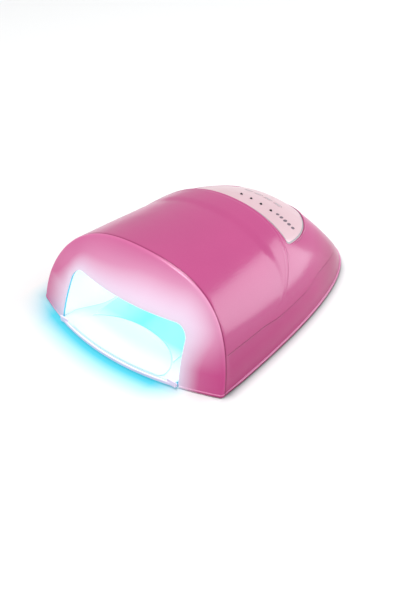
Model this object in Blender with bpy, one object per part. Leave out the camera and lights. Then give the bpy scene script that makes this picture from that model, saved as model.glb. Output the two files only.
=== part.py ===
"""Table-top UV LED nail lamp with a pull-out hand tray.

Metres, +Z up. The hand opening faces -Y, so +X is to the right of a person who looks into it.
The origin is on the table, under the middle of the base.
"""

import math

import bpy
from mathutils import Matrix, Vector

# ---------------------------------------------------------------- driving dimensions
BASE_WIDTH = 0.2134         # across the base flange at the front corners
FLANGE = 0.0010             # how far the base stands out past the shell
HALF_WIDTH = BASE_WIDTH / 2 - FLANGE
SECTION_RUN = 0.2427        # from the front corners to where the plan outline closes
SHELL_RUN = 0.2410          # from the front corners to the flat rear end
PLAN_POWERS = (2.711, 4.274)
FRONT_BULGE = 0.024         # the middle of the front stands this far ahead of its corners
FRONT_LEAN = 0.149          # the front leans back by this slope at the table
FRONT_CURL = 4.2            # and curls back further with height squared, 1/m
Y_CORNER = (FRONT_BULGE - SHELL_RUN) / 2
CROWN_HEIGHTS = ((0.0, 0.0901), (0.0744, 0.0851), (0.1364, 0.0803), (0.1984, 0.0581), (0.2427, 0.0089))
# The arch of a section: inward lean of the side, height of its first handle, reach of its second.
ARCH_FRONT = (0.029, 0.649, 0.687)
ARCH_REAR = (0.010, 0.532, 0.514)
ARCH_BLEND_RUN = 0.1984

WALL = 0.0024
RIM_RADIUS = 0.0022         # round between the front face and the hood
GAP = 0.0003                # clearance between pieces that touch

VISOR_RUN = 0.1455          # the visor edge crosses the crown here
VISOR_SWEEP = 0.1617        # how fast the visor edge sweeps forward down the sides
VISOR_REACH = 0.80          # how far down the arch it sweeps, as a share
VISOR_RISE = 0.0025
VISOR_LENGTH = 0.035
VISOR_DROP = 0.0010         # the run over which the edge falls back to the rear body

OPENING_HALF_BOTTOM = 0.0689
OPENING_HALF_TOP = 0.0661
OPENING_HEIGHT = 0.053
OPENING_CORNER = 0.013

BASE_BOTTOM = 0.0005
BASE_TOP = 0.0029
RECESS_TOP = 0.0020         # roof of the recesses for the feet and the screw heads
SHELL_BOTTOM = BASE_TOP + GAP
SKIRT_BOTTOM = -0.004       # the shell is drawn down to here and then trimmed flat

PANEL_HALF_WIDTH = 0.0655
PANEL_DEPTH = 0.0715
PANEL_Y = 0.0338            # front corners of the control panel
PANEL_BOW = 0.0050          # its front edge bows back by this in the middle
PANEL_TOP = 0.0001          # below the surface around it
PANEL_THICKNESS = 0.0009
PANEL_POCKET = 0.00135
DOT_X, KEY_X, CONTROL_PITCH = -0.0042, -0.0108, 0.0114
DOT_Y, KEY_Y = 0.0546, 0.0750
DOT_RADIUS = 0.0012
KEY_HALF_LENGTH, KEY_HALF_WIDTH = 0.0043, 0.0026
KEY_THICKNESS = 0.0006
KEY_TRAVEL = 0.0004
STEM_RADIUS = 0.0016
BOARD_DROP = 0.0085         # from the panel surface down to the control board
BOARD_THICKNESS = 0.0016
SWITCH_SIDE, SWITCH_HEIGHT = 0.006, 0.0036

TRAY_TOP = SHELL_BOTTOM + 0.0018
TRAY_HALF_WIDTH = 0.0665
SHEET_THICKNESS = 0.0005
PAD_THICKNESS = 0.0009
PAD_HALF_WIDTH, PAD_HALF_DEPTH = 0.0535, 0.0335
PAD_Y = -0.1209
LIP_THICKNESS = 0.0016
LIP_TOP = 0.0062
TAB_TOP = 0.0076

LINER_WALL = 0.0012
LINER_SETBACK = 0.0042      # from the front face to the front edge of the liner
LINER_BOTTOM = 0.0068
LINER_HALF_WIDTH = 0.051
LINER_HEIGHT = 0.053
LINER_CORNER = 0.013
LINER_FUNNEL_END = 0.0424
LINER_STRAIGHT_END = 0.1215
LINER_END = 0.1500

LED_RADIUS, LED_HOLE = 0.0040, 0.0045
LED_PROUD = 0.0015
CEILING_LED_X = 0.025
CEILING_LED_Y = (-0.066, -0.036, -0.006)
SIDE_LED_Y = (-0.052, -0.026, 0.0)
SIDE_LED_Z = 0.030
BOARD_STANDOFF = 0.0042     # from the liner's outer face to a board

INLET_Y = 0.1095            # flat rear wall that holds the mains inlet
INLET_HALF_WIDTH = 0.0190
INLET_Z = 0.0160

DRIVER_Z = 0.0090
DRIVER_HALF_WIDTH = 0.052
DRIVER_Y = (0.0475, 0.0865)

BOSS_RADIUS, BOSS_TOP = 0.0034, 0.0150
BOSS_RUNS = (0.022, 0.112, 0.196)
SCREW_RADIUS, SCREW_HOLE = 0.0011, 0.0014
SCREW_HEAD_RADIUS = 0.0026
FOOT_RADIUS = 0.0065
FOOT_PLACES = ((-0.078, -0.086), (0.078, -0.086), (-0.062, 0.090), (0.062, 0.090))

PINK = (0.62, 0.13, 0.29)
PALE_PINK = (0.84, 0.60, 0.65)
WHITE = (0.88, 0.90, 0.90)
DARK = (0.035, 0.03, 0.035)
GREEN = (0.05, 0.22, 0.10)
STEEL = (0.62, 0.62, 0.64)


# ---------------------------------------------------------------- making objects
def material(name, color, roughness, metallic=0.0):
    made = bpy.data.materials.new(name)
    made.use_nodes = True
    shader = made.node_tree.nodes["Principled BSDF"]
    shader.inputs["Base Color"].default_value = (*color, 1.0)
    shader.inputs["Roughness"].default_value = roughness
    shader.inputs["Metallic"].default_value = metallic
    return made


def add_mesh(name, points, faces, paint=None, smooth_angle=None):
    mesh = bpy.data.meshes.new(name)
    mesh.from_pydata([tuple(p) for p in points], [], faces)
    obj = bpy.data.objects.new(name, mesh)
    bpy.context.scene.collection.objects.link(obj)
    if paint is None:
        obj.hide_render = True
        obj.display_type = "WIRE"
    else:
        mesh.materials.append(paint)
    if smooth_angle:
        mesh.shade_smooth()
        mesh.set_sharp_from_angle(angle=math.radians(smooth_angle))
    return obj


def join_shapes(shapes):
    """One list of points and one of faces from several (points, faces) shapes that don't touch."""
    points, faces = [], []
    for shape_points, shape_faces in shapes:
        first = len(points)
        points += shape_points
        faces += [tuple(first + index for index in face) for face in shape_faces]
    return points, faces


def loft(rings, closed_rings=True, caps=True):
    """Skin over rings of equally many points, given so that the skin faces outwards."""
    count = len(rings[0])
    points = [point for ring in rings for point in ring]
    spans = count if closed_rings else count - 1
    faces = []
    for ring in range(len(rings) - 1):
        for spot in range(spans):
            a = ring * count + spot
            b = ring * count + (spot + 1) % count
            faces.append((a, b, b + count, a + count))
    if caps:
        faces.append(tuple(reversed(range(count))))
        last = (len(rings) - 1) * count
        faces.append(tuple(last + spot for spot in range(count)))
    return points, faces


def box_shape(low, high):
    (x0, y0, z0), (x1, y1, z1) = low, high
    corners = ((x0, y0), (x1, y0), (x1, y1), (x0, y1))
    return loft([[Vector((x, y, z)) for x, y in corners] for z in (z0, z1)])


def prism_shape(outline, bottom, top):
    """An upright prism over a plan outline that runs anticlockwise."""
    return loft([[Vector((x, y, z)) for x, y in outline] for z in (bottom, top)])


def turned_shape(profile, segments, place=Matrix()):
    """A turned solid from (radius, height) points that run up its outer side."""
    rings = []
    for radius, height in profile:
        angles = [2 * math.pi * step / segments for step in range(segments)]
        rings.append([place @ Vector((radius * math.cos(a), radius * math.sin(a), height)) for a in angles])
    return loft(rings)


def rounded_box(name, low, high, bevel, paint):
    obj = add_mesh(name, *box_shape(low, high), paint)
    add_bevel(obj, bevel, 1)
    return obj


def add_bevel(obj, width, segments):
    bevel = obj.modifiers.new("edge_round", "BEVEL")
    bevel.width = width
    bevel.segments = segments
    bevel.limit_method = "ANGLE"
    bevel.angle_limit = math.radians(40)


def add_boolean(obj, cutter, operation="DIFFERENCE"):
    cut = obj.modifiers.new(cutter.name, "BOOLEAN")
    cut.operation = operation
    cut.solver = "EXACT"
    cut.object = cutter


def add_skin(obj, thickness):
    skin = obj.modifiers.new("wall", "SOLIDIFY")
    skin.thickness = thickness
    skin.offset = -1.0
    skin.use_even_offset = True
    skin.use_quality_normals = True


def tube(name, route, radius, paint):
    """A wire: a round tube on a smooth curve through the points of its route."""
    samples = 6
    path = []
    for spot in range(len(route) - 1):
        before = Vector(route[max(spot - 1, 0)])
        start, end = Vector(route[spot]), Vector(route[spot + 1])
        after = Vector(route[min(spot + 2, len(route) - 1)])
        for step in range(samples):
            t = step / samples
            path.append(0.5 * (2 * start + (end - before) * t
                               + (2 * before - 5 * start + 4 * end - after) * t ** 2
                               + (3 * start - before - 3 * end + after) * t ** 3))
    path.append(Vector(route[-1]))
    curve = bpy.data.curves.new(name, "CURVE")
    curve.dimensions = "3D"
    curve.bevel_depth = radius
    curve.bevel_resolution = 1
    curve.use_fill_caps = True
    spline = curve.splines.new("POLY")
    spline.points.add(len(path) - 1)
    for point, place in zip(spline.points, path):
        point.co = (*place, 1.0)
    curve.materials.append(paint)
    obj = bpy.data.objects.new(name, curve)
    bpy.context.scene.collection.objects.link(obj)
    return obj


# ---------------------------------------------------------------- the outer surface
def mix(a, b, share):
    return a + (b - a) * share


def smooth_step(value):
    value = min(1.0, max(0.0, value))
    return value * value * (3 - 2 * value)


def monotone_curve(stations, place):
    """Height at a place on a smooth curve through the stations, which never overshoots them."""
    places = [station[0] for station in stations]
    heights = [station[1] for station in stations]
    widths = [b - a for a, b in zip(places, places[1:])]
    slopes = [(b - a) / width for a, b, width in zip(heights, heights[1:], widths)]
    tangents = [slopes[0]]
    for spot in range(1, len(slopes)):
        before, after = 2 * widths[spot] + widths[spot - 1], widths[spot] + 2 * widths[spot - 1]
        tangents.append((before + after) / (before / slopes[spot - 1] + after / slopes[spot]))
    tangents.append(slopes[-1])
    spot = max(0, min(len(widths) - 1, sum(place >= edge for edge in places) - 1))
    width = widths[spot]
    t = (place - places[spot]) / width
    return ((1 + 2 * t) * (1 - t) ** 2 * heights[spot] + t * (1 - t) ** 2 * width * tangents[spot]
            + t * t * (3 - 2 * t) * heights[spot + 1] + t * t * (t - 1) * width * tangents[spot + 1])


def half_width(run):
    along, across = PLAN_POWERS
    return HALF_WIDTH * (1 - (run / SECTION_RUN) ** along) ** (1 / across)


def front_y(x, z):
    """The bulged, leaning front face."""
    return -FRONT_BULGE + FRONT_BULGE * (x / HALF_WIDTH) ** 2 + FRONT_LEAN * z + FRONT_CURL * z * z


def arch(run, share):
    """Section at a run, from the foot (share 0) to the crown (share 1): point (x, z) and its normal."""
    blend = min(1.0, run / ARCH_BLEND_RUN)
    lean, rise, reach = (mix(front, rear, blend) for front, rear in zip(ARCH_FRONT, ARCH_REAR))
    handles = ((1.0, 0.0), (1 - lean * rise, rise), (reach, 1.0), (0.0, 1.0))
    rest = 1 - share
    weights = (rest ** 3, 3 * rest ** 2 * share, 3 * rest * share ** 2, share ** 3)
    slopes = (-3 * rest ** 2, 3 * rest * (rest - 2 * share), 3 * share * (2 * rest - share), 3 * share ** 2)
    width, height = half_width(run), monotone_curve(CROWN_HEIGHTS, run)
    x, z = (scale * sum(w * handle[axis] for w, handle in zip(weights, handles))
            for axis, scale in ((0, width), (1, height)))
    dx, dz = (scale * sum(w * handle[axis] for w, handle in zip(slopes, handles))
              for axis, scale in ((0, width), (1, height)))
    size = math.hypot(dx, dz)
    return x, z, dz / size, -dx / size


def visor_edge(share):
    """Run at which the visor edge crosses the arch."""
    return VISOR_RUN - VISOR_SWEEP * min(1.03 - share, VISOR_REACH) ** 3.87


def visor_fade(share):
    return smooth_step((share - 0.25) / 0.45)


def visor_start(share):
    return visor_edge(share) - mix(0.004, VISOR_LENGTH, visor_fade(share))


def visor_lift(share, along):
    """How far the visor stands off the hood, from its start (along 0) to its edge (along 1)."""
    return VISOR_RISE * visor_fade(share) * (0.55 * smooth_step(along / 0.25) + 0.45 * along)


def surface(run, side, rise=0.0):
    """Point of the hood. Side runs from -1, the left foot, over 0, the crown, to 1, the right foot."""
    share = 1 - abs(side)
    x, z, normal_x, normal_z = arch(run, share)
    x += rise * normal_x
    z += rise * normal_z
    front_share = max(0.0, 1 - run / (0.5 * SECTION_RUN))
    return Vector((math.copysign(x, side), Y_CORNER + run + front_share * front_y(x, z), z))


def surface_z(x, y):
    """Height of the rear body over a point of the plan."""
    run = y - Y_CORNER
    low, high = 0.0, 1.0
    for _ in range(30):
        middle = (low + high) / 2
        if arch(run, middle)[0] > abs(x):
            low = middle
        else:
            high = middle
    return arch(run, low)[1]


def opening_outline(half_bottom, half_top, height, corner, side, bottom=0.0):
    """Point (x, z) of a doorway outline. Side runs from -1, the left foot, over 0 to 1, the right foot."""
    share = 1 - abs(side)
    arc_share = 0.30
    straight_share = 0.40
    if share <= straight_share:
        t = share / straight_share
        x, z = mix(half_bottom, half_top, t), mix(bottom, height - corner, t)
    elif share <= straight_share + arc_share:
        angle = (share - straight_share) / arc_share * math.pi / 2
        x = half_top - corner + corner * math.cos(angle)
        z = height - corner + corner * math.sin(angle)
    else:
        t = (share - straight_share - arc_share) / (1 - straight_share - arc_share)
        x, z = mix(half_top - corner, 0.0, t), height
    return math.copysign(x, side), z


def shell_sheet(sides, face_rings, hood_lines, visor_lines, rear_lines):
    """The whole outer skin as rows of points, from the opening's edge over the rim and hood to the rear."""
    rows = []
    rim = [surface(0.0, side) for side in sides]
    opening = [opening_outline(OPENING_HALF_BOTTOM, OPENING_HALF_TOP, OPENING_HEIGHT, OPENING_CORNER, side)
               for side in sides]

    def face_point(spot, share):
        x = mix(opening[spot][0], rim[spot].x, share)
        z = mix(opening[spot][1], rim[spot].z, share)
        return Vector((x, Y_CORNER + front_y(x, z), z))

    inset = [1 - RIM_RADIUS / (rim[spot] - face_point(spot, 0.0)).length for spot in range(len(sides))]
    for ring in range(face_rings):
        rows.append([face_point(spot, inset[spot] * ring / face_rings) for spot in range(len(sides))])
    for step in range(4):
        t = step / 3
        rows.append([(1 - t) ** 2 * face_point(spot, inset[spot]) + 2 * t * (1 - t) * rim[spot]
                     + t * t * surface(RIM_RADIUS, side) for spot, side in enumerate(sides)])
    for line in range(1, hood_lines + 1):
        share = line / hood_lines
        rows.append([surface(mix(RIM_RADIUS, visor_start(1 - abs(side)), share), side) for side in sides])
    for line in range(1, visor_lines + 1):
        share = line / visor_lines
        row = []
        for side in sides:
            level = 1 - abs(side)
            run = mix(visor_start(level), visor_edge(level), share)
            row.append(surface(run, side, visor_lift(level, share)))
        rows.append(row)
    for line in range(rear_lines + 1):
        share = 1 - (1 - line / rear_lines) ** 1.8
        rows.append([surface(mix(visor_edge(1 - abs(side)) + VISOR_DROP, SHELL_RUN, share), side)
                     for side in sides])
    return rows


def side_values(count):
    return [-1 + 2 * step / count for step in range(count + 1)]


def sheet_object(name, rows, paint, smooth_angle):
    """An open sheet from rows of points, with one flat face across the last row."""
    points, faces = loft(rows, closed_rings=False, caps=False)
    faces.append(tuple(range(len(points) - len(rows[0]), len(points))))
    return add_mesh(name, points, faces, paint, smooth_angle)


def base_outline(grow):
    """Plan outline of the shell at the table, anticlockwise, moved outwards by grow."""
    right = [surface(mix(RIM_RADIUS, SHELL_RUN, 1 - (1 - step / 22) ** 1.5), 1) for step in range(23)]
    front_half = HALF_WIDTH - RIM_RADIUS
    front_count = 24
    front = [Vector((x, Y_CORNER + front_y(x, 0), 0))
             for x in (front_half * (-1 + 2 * step / front_count) for step in range(front_count + 1))]
    corner = surface(0, 1)
    turn = [0.25 * front[-1] + 0.5 * corner + 0.25 * right[0]]
    mirrored = [Vector((-p.x, p.y, 0)) for p in reversed(turn + right)]
    ring = turn + right + mirrored + front
    moved = []
    for spot, point in enumerate(ring):
        tangent = ring[(spot + 1) % len(ring)] - ring[spot - 1]
        normal = Vector((tangent.y, -tangent.x, 0)).normalized()
        moved.append((point.x + grow * normal.x, point.y + grow * normal.y))
    return moved


def ellipse_outline(x, y, half_x, half_y, count, start=0.0, turn=2 * math.pi):
    steps = count if turn >= 2 * math.pi else count + 1
    angles = [start + turn * step / count for step in range(steps)]
    return [(x + half_x * math.cos(a), y + half_y * math.sin(a)) for a in angles]


# ---------------------------------------------------------------- shell and base
def boss_places():
    """Six screw posts, each melted into the shell's side wall at its top."""
    places = []
    for run in BOSS_RUNS:
        share = 0.0
        while arch(run, share)[1] < BOSS_TOP:
            share += 0.01
        point = surface(run, 1 - share)
        places.append((point.x - WALL - BOSS_RADIUS + 0.0012, point.y))
    return [(side * x, y) for x, y in places for side in (-1, 1)]


def make_top_shell(paint):
    rows = shell_sheet(side_values(40), face_rings=3, hood_lines=4, visor_lines=4, rear_lines=10)
    for row in rows:
        row.insert(0, Vector((row[0].x, row[0].y, SKIRT_BOTTOM)))
        row.append(Vector((row[-1].x, row[-1].y, SKIRT_BOTTOM)))
    shell = sheet_object("top_shell", rows, paint, 35)
    add_skin(shell, WALL)
    below = add_mesh("cut_below", *box_shape((-0.2, -0.2, -0.05), (0.2, 0.2, SHELL_BOTTOM)))
    add_boolean(shell, below)
    posts = [turned_shape(((BOSS_RADIUS, SHELL_BOTTOM), (BOSS_RADIUS, BOSS_TOP)), 12,
                          Matrix.Translation((x, y, 0))) for x, y in boss_places()]
    add_boolean(shell, add_mesh("add_bosses", *join_shapes(posts)), "UNION")
    pilots = [turned_shape(((SCREW_HOLE, 0.0), (SCREW_HOLE, BOSS_TOP - 0.003)), 8,
                           Matrix.Translation((x, y, 0))) for x, y in boss_places()]
    add_boolean(shell, add_mesh("cut_pilots", *join_shapes(pilots)))
    add_boolean(shell, panel_solid("cut_panel", 0.0004, -PANEL_POCKET, 0.01))
    holes = [control_cylinder(x, KEY_Y, STEM_RADIUS + 0.0005, -0.006, 0.004) for x in control_places(KEY_X)]
    holes += [control_cylinder(x, DOT_Y, DOT_RADIUS + GAP, -0.006, 0.004) for x in control_places(DOT_X)]
    add_boolean(shell, add_mesh("cut_controls", *join_shapes(holes)))
    low, high = (-INLET_HALF_WIDTH, INLET_Y, 0.0), (INLET_HALF_WIDTH, 0.2, 0.08)
    add_boolean(shell, add_mesh("cut_inlet", *box_shape(low, high)))


def make_base_plate(paint):
    """A flat plate, cut back behind the tray's lip and holed for screws."""
    plate = add_mesh("base_plate", *prism_shape(base_outline(FLANGE), BASE_BOTTOM, BASE_TOP), paint)
    half = OPENING_HALF_BOTTOM + 0.0006
    steps = 12
    back = [(x, Y_CORNER + front_y(x, 0) + LIP_THICKNESS + GAP)
            for x in (half * (1 - 2 * step / steps) for step in range(steps + 1))]
    mouth = [(-half, -0.2), (half, -0.2)] + back
    add_boolean(plate, add_mesh("cut_mouth", *prism_shape(mouth, -0.01, 0.01)))
    holes = [turned_shape(((SCREW_HOLE, -0.01), (SCREW_HOLE, 0.01)), 10, Matrix.Translation((x, y, 0)))
             for x, y in boss_places()]
    add_boolean(plate, add_mesh("cut_screw_holes", *join_shapes(holes)))
    recesses = [(place, SCREW_HEAD_RADIUS) for place in boss_places()]
    recesses += [(place, FOOT_RADIUS) for place in FOOT_PLACES]
    recesses = [turned_shape(((radius + GAP, -0.01), (radius + GAP, RECESS_TOP)), 20,
                             Matrix.Translation((x, y, 0))) for (x, y), radius in recesses]
    add_boolean(plate, add_mesh("cut_recesses", *join_shapes(recesses)))


def make_feet_and_screws(rubber, steel):
    top = RECESS_TOP - GAP
    for number, (x, y) in enumerate(FOOT_PLACES, 1):
        place = Matrix.Translation((x, y, 0))
        profile = ((FOOT_RADIUS - 0.0004, 0.0), (FOOT_RADIUS, 0.0004), (FOOT_RADIUS, top))
        add_mesh(f"rubber_foot_{number}", *turned_shape(profile, 20, place), rubber, 40)
    for number, (x, y) in enumerate(boss_places(), 1):
        place = Matrix.Translation((x, y, 0))
        profile = ((SCREW_HEAD_RADIUS - 0.0005, top - 0.0010), (SCREW_HEAD_RADIUS, top - 0.0006),
                   (SCREW_HEAD_RADIUS, top), (SCREW_RADIUS, top), (SCREW_RADIUS, BOSS_TOP - 0.004))
        add_mesh(f"base_screw_{number}", *turned_shape(profile, 10, place), steel, 40)


# ---------------------------------------------------------------- control panel
def control_places(first):
    return [first + CONTROL_PITCH * number for number in range(4)]


def panel_tilt():
    """Rotation that lays +Z square to the panel between its dots and its keys."""
    middle_x = (control_places(KEY_X)[0] + control_places(DOT_X)[-1]) / 2
    fall = surface_z(middle_x, KEY_Y) - surface_z(middle_x, DOT_Y)
    return Matrix.Rotation(math.atan2(fall, KEY_Y - DOT_Y), 4, "X")


def control_place(x, y):
    """Frame on the panel's surface whose +Z is the keys' outward direction."""
    return Matrix.Translation((x, y, surface_z(x, y))) @ panel_tilt()


def control_cylinder(x, y, radius, bottom, top):
    return turned_shape(((radius, bottom), (radius, top)), 12, control_place(x, y))


def panel_outline(grow):
    """D shape: a bowed front edge with rounded corners and a half-ellipse behind."""
    corner = 0.002
    half, depth = PANEL_HALF_WIDTH + grow, PANEL_DEPTH + grow
    back = ellipse_outline(0, PANEL_Y, half, depth, 28, 0.06, math.pi - 0.12)
    left = [(-half + corner * (1 - math.cos(a)), PANEL_Y - grow + corner * (1 - math.sin(a)))
            for a in (0.0, math.pi / 4, math.pi / 2)]
    front = [(half * spot / 6, PANEL_Y - grow + PANEL_BOW * (1 - (spot / 6) ** 4)) for spot in range(-5, 6)]
    right = [(-x, y) for x, y in reversed(left)]
    return back + left + front + right


def panel_solid(name, grow, bottom, top, paint=None):
    """A plate over the panel's outline that follows the curved rear body."""
    outline = panel_outline(grow)
    centre = (0.0, PANEL_Y + 0.4 * PANEL_DEPTH)
    scales = (1.0, 0.8, 0.6, 0.4, 0.2)
    count = len(outline)
    points, faces = [], []
    for level in (bottom, top):
        for scale in scales:
            for x, y in outline:
                px, py = mix(centre[0], x, scale), mix(centre[1], y, scale)
                points.append(Vector((px, py, surface_z(px, py) + level)))
        points.append(Vector((*centre, surface_z(*centre) + level)))
    layer = count * len(scales) + 1
    for spot in range(count):
        after = (spot + 1) % count
        faces.append((spot, after, layer + after, layer + spot))
        for ring in range(len(scales) - 1):
            # split the same way in every plate, so that plates at different levels stay parallel
            a, b = ring * count + spot, ring * count + after
            faces += [(a, a + count, b + count), (a, b + count, b)]
            a, b = layer + a, layer + b
            faces += [(a, b + count, a + count), (a, b, b + count)]
        inner = (len(scales) - 1) * count
        faces.append((inner + spot, layer - 1, inner + after))
        faces.append((layer + inner + spot, layer + inner + after, 2 * layer - 1))
    return add_mesh(name, points, faces, paint, 35 if paint else None)


def key_outline(grow):
    """A slot shape, flat on its long sides."""
    radius = KEY_HALF_WIDTH + grow
    reach = KEY_HALF_LENGTH - KEY_HALF_WIDTH
    right = ellipse_outline(reach, 0, radius, radius, 6, -math.pi / 2, math.pi)
    return right + [(-x, -y) for x, y in right]


def key_prism(x, grow, bottom, top):
    place = control_place(x, KEY_Y)
    return loft([[place @ Vector((px, py, z)) for px, py in key_outline(grow)] for z in (bottom, top)])


def make_control_panel(paints):
    overlay = panel_solid("control_overlay", 0.0, -PANEL_TOP - PANEL_THICKNESS, -PANEL_TOP,
                          paints["overlay"])
    openings = [key_prism(x, 0.0004, -0.004, 0.004) for x in control_places(KEY_X)]
    openings += [control_cylinder(x, DOT_Y, DOT_RADIUS + GAP, -0.004, 0.004) for x in control_places(DOT_X)]
    add_boolean(overlay, add_mesh("cut_overlay", *join_shapes(openings)))
    stem_bottom = -BOARD_DROP + GAP + SWITCH_HEIGHT + KEY_TRAVEL + 0.0002
    for number, (key_x, dot_x) in enumerate(zip(control_places(KEY_X), control_places(DOT_X)), 1):
        place = control_place(key_x, KEY_Y)
        stem = [place @ Vector((STEM_RADIUS * math.cos(a), STEM_RADIUS * math.sin(a), stem_bottom))
                for a in (2 * math.pi * step / 14 for step in range(14))]
        neck = [point + place.to_3x3() @ Vector((0, 0, -KEY_THICKNESS - stem_bottom)) for point in stem]
        cap = [[on_surface(place, px * s, py * s, z) for px, py in key_outline(0.0)]
               for s, z in ((1.0, -KEY_THICKNESS), (1.0, -0.0001), (0.93, 0.0))]
        make_key(f"key_{number}", stem, neck, cap, place, paints["overlay"])
        place = control_place(dot_x, DOT_Y)
        bottom = level_in(place, board_frame()) + GAP
        pipe = ((DOT_RADIUS, bottom), (DOT_RADIUS, -0.0002), (DOT_RADIUS * 0.8, -0.00005))
        add_mesh(f"light_pipe_{number}", *turned_shape(pipe, 12, place), paints["lens"], 40)
    make_control_board(paints)


def on_surface(place, x, y, level):
    """Point at (x, y) of a frame on the panel, lifted by level from the curved surface under it."""
    spot = place @ Vector((x, y, 0))
    height = level_in(place, Matrix.Translation((spot.x, spot.y, surface_z(spot.x, spot.y))))
    return place @ Vector((x, y, height + level))


def make_key(name, stem, neck, cap, place, paint):
    """A key whose origin is on its own line of travel, at the top of its cap."""
    count = len(stem)
    points, faces = loft([stem, neck], caps=False)
    faces.append(tuple(reversed(range(count))))
    first = len(points)
    for ring in cap:
        points += ring
    for ring in range(len(cap) - 1):
        for spot in range(count):
            a = first + ring * count + spot
            b = first + ring * count + (spot + 1) % count
            faces.append((a, b, b + count, a + count))
    faces.append(tuple(first + (len(cap) - 1) * count + spot for spot in range(count)))
    for spot in range(count):
        # the stem's ring starts on +X and the cap's on -Y, a quarter turn earlier
        a, b = spot, (spot + 1) % count
        shift = count // 4
        c, d = first + (b + shift) % count, first + (a + shift) % count
        faces.append((count + a, count + b, c, d))
    local = place.inverted()
    key = add_mesh(name, [local @ p for p in points], faces, paint, 40)
    key.matrix_world = place


def board_frame():
    """Frame on the top face of the control board, which lies square to the keys' travel."""
    middle = (control_places(KEY_X)[0] + control_places(DOT_X)[-1]) / 2
    tilted = control_place(middle, KEY_Y)
    lowest = min(level_in(tilted, control_place(x, KEY_Y)) for x in control_places(KEY_X))
    return tilted @ Matrix.Translation((0, 0, lowest - BOARD_DROP))


def level_in(frame, other):
    """Height of another frame's origin, measured along this frame's +Z."""
    return (frame.inverted() @ other.translation).z


def make_control_board(paints):
    frame = board_frame()
    board = add_mesh("control_board", *box_shape((-0.027, -0.029, -BOARD_THICKNESS), (0.027, 0.006, 0.0)),
                     paints["board"])
    board.matrix_world = frame
    half = SWITCH_SIDE / 2
    for number, x in enumerate(control_places(KEY_X), 1):
        place = control_place(x, KEY_Y)
        body = box_shape((-half, -half, level_in(place, frame) + GAP),
                         (half, half, -BOARD_DROP + GAP + SWITCH_HEIGHT))
        switch = add_mesh(f"tact_switch_{number}", *body, paints["dark"])
        switch.matrix_world = place


# ---------------------------------------------------------------- tray
def lip_outline(inner, half):
    """Plan strip along the bulged front, from the left end to the right and back."""
    steps = 20
    xs = [half * (-1 + 2 * step / steps) for step in range(steps + 1)]
    outer = [(x, Y_CORNER + front_y(x, 0) - FLANGE) for x in xs]
    back = [(x, y + FLANGE + inner) for x, y in reversed(outer)]
    return outer + back


def make_tray(paints):
    half = OPENING_HALF_BOTTOM - 0.0013
    steps = 16
    front = [(x, Y_CORNER + front_y(x, 0) + LIP_THICKNESS + GAP)
             for x in (TRAY_HALF_WIDTH * (-1 + 2 * step / steps) for step in range(steps + 1))]
    back = ellipse_outline(TRAY_HALF_WIDTH - 0.02, 0.0200, 0.02, 0.02, 6, 0.0, math.pi / 2)
    outline = front + back + [(-x, y) for x, y in reversed(back)]
    tray = add_mesh("tray_plate", *prism_shape(outline, SHELL_BOTTOM, TRAY_TOP), paints["tray"])
    add_bevel(tray, 0.0003, 1)

    low = TRAY_TOP + GAP
    pad = ellipse_outline(0, PAD_Y, PAD_HALF_WIDTH, PAD_HALF_DEPTH, 32, -0.02, math.pi + 0.04)
    pad_front = [(x, Y_CORNER + front_y(x, 0) + LIP_THICKNESS + 0.0022)
                 for x in (0.0505 * (-1 + 2 * step / 12) for step in range(13))]
    add_mesh("tray_pad", *prism_shape(pad + pad_front, low, low + PAD_THICKNESS), paints["tray"], 40)

    inner = [(x, y) for x, y in ellipse_outline(0, PAD_Y, PAD_HALF_WIDTH + 0.0012, PAD_HALF_DEPTH + 0.0012,
                                                20, math.pi * 0.85, -math.pi * 0.70)]
    rear = ellipse_outline(0, 0.0060, 0.0475, 0.0280, 16, 0.0, math.pi)
    sheet = inner + rear
    add_mesh("tray_mirror", *prism_shape(sheet, low, low + SHEET_THICKNESS), paints["mirror"], 40)

    lip = prism_shape(lip_outline(LIP_THICKNESS, half), BASE_BOTTOM, LIP_TOP)
    lip_object = add_mesh("tray_lip", *lip, paints["clear"])
    tabs = []
    for side in (-1, 1):
        x0, x1 = sorted((side * (half - 0.0034), side * half))
        y = Y_CORNER + front_y(half, 0) - FLANGE - 0.0006
        tabs.append(box_shape((x0, y, BASE_BOTTOM + 0.0001), (x1, y + 0.0018, TAB_TOP)))
    add_boolean(lip_object, add_mesh("add_tabs", *join_shapes(tabs)), "UNION")
    for side, name in ((-1, "tray_rail_left"), (1, "tray_rail_right")):
        section = ((0.0, 0.0), (0.0035, 0.0), (0.0035, 0.0028), (-0.0022, 0.0028), (-0.0022, 0.0021), (0.0, 0.0021))
        inner_x = TRAY_HALF_WIDTH + GAP
        ring = [(side * (inner_x + x), SHELL_BOTTOM + z) for x, z in section]
        if side > 0:
            ring.reverse()
        rings = [[Vector((x, y, z)) for x, z in ring] for y in (-0.060, 0.010)]
        add_mesh(name, *loft(rings), paints["white"])


# ---------------------------------------------------------------- cavity and emitters
def liner_width(run):
    """Half width of the cavity: a funnel behind the opening, then straight, then a round end."""
    funnel = smooth_step(run / LINER_FUNNEL_END)
    width = mix(OPENING_HALF_BOTTOM - 0.0006, LINER_HALF_WIDTH, funnel)
    if run > LINER_STRAIGHT_END:
        share = (run - LINER_STRAIGHT_END) / (LINER_END - LINER_STRAIGHT_END)
        width *= math.sqrt(max(0.0, 1 - share * share))
    return width


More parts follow.
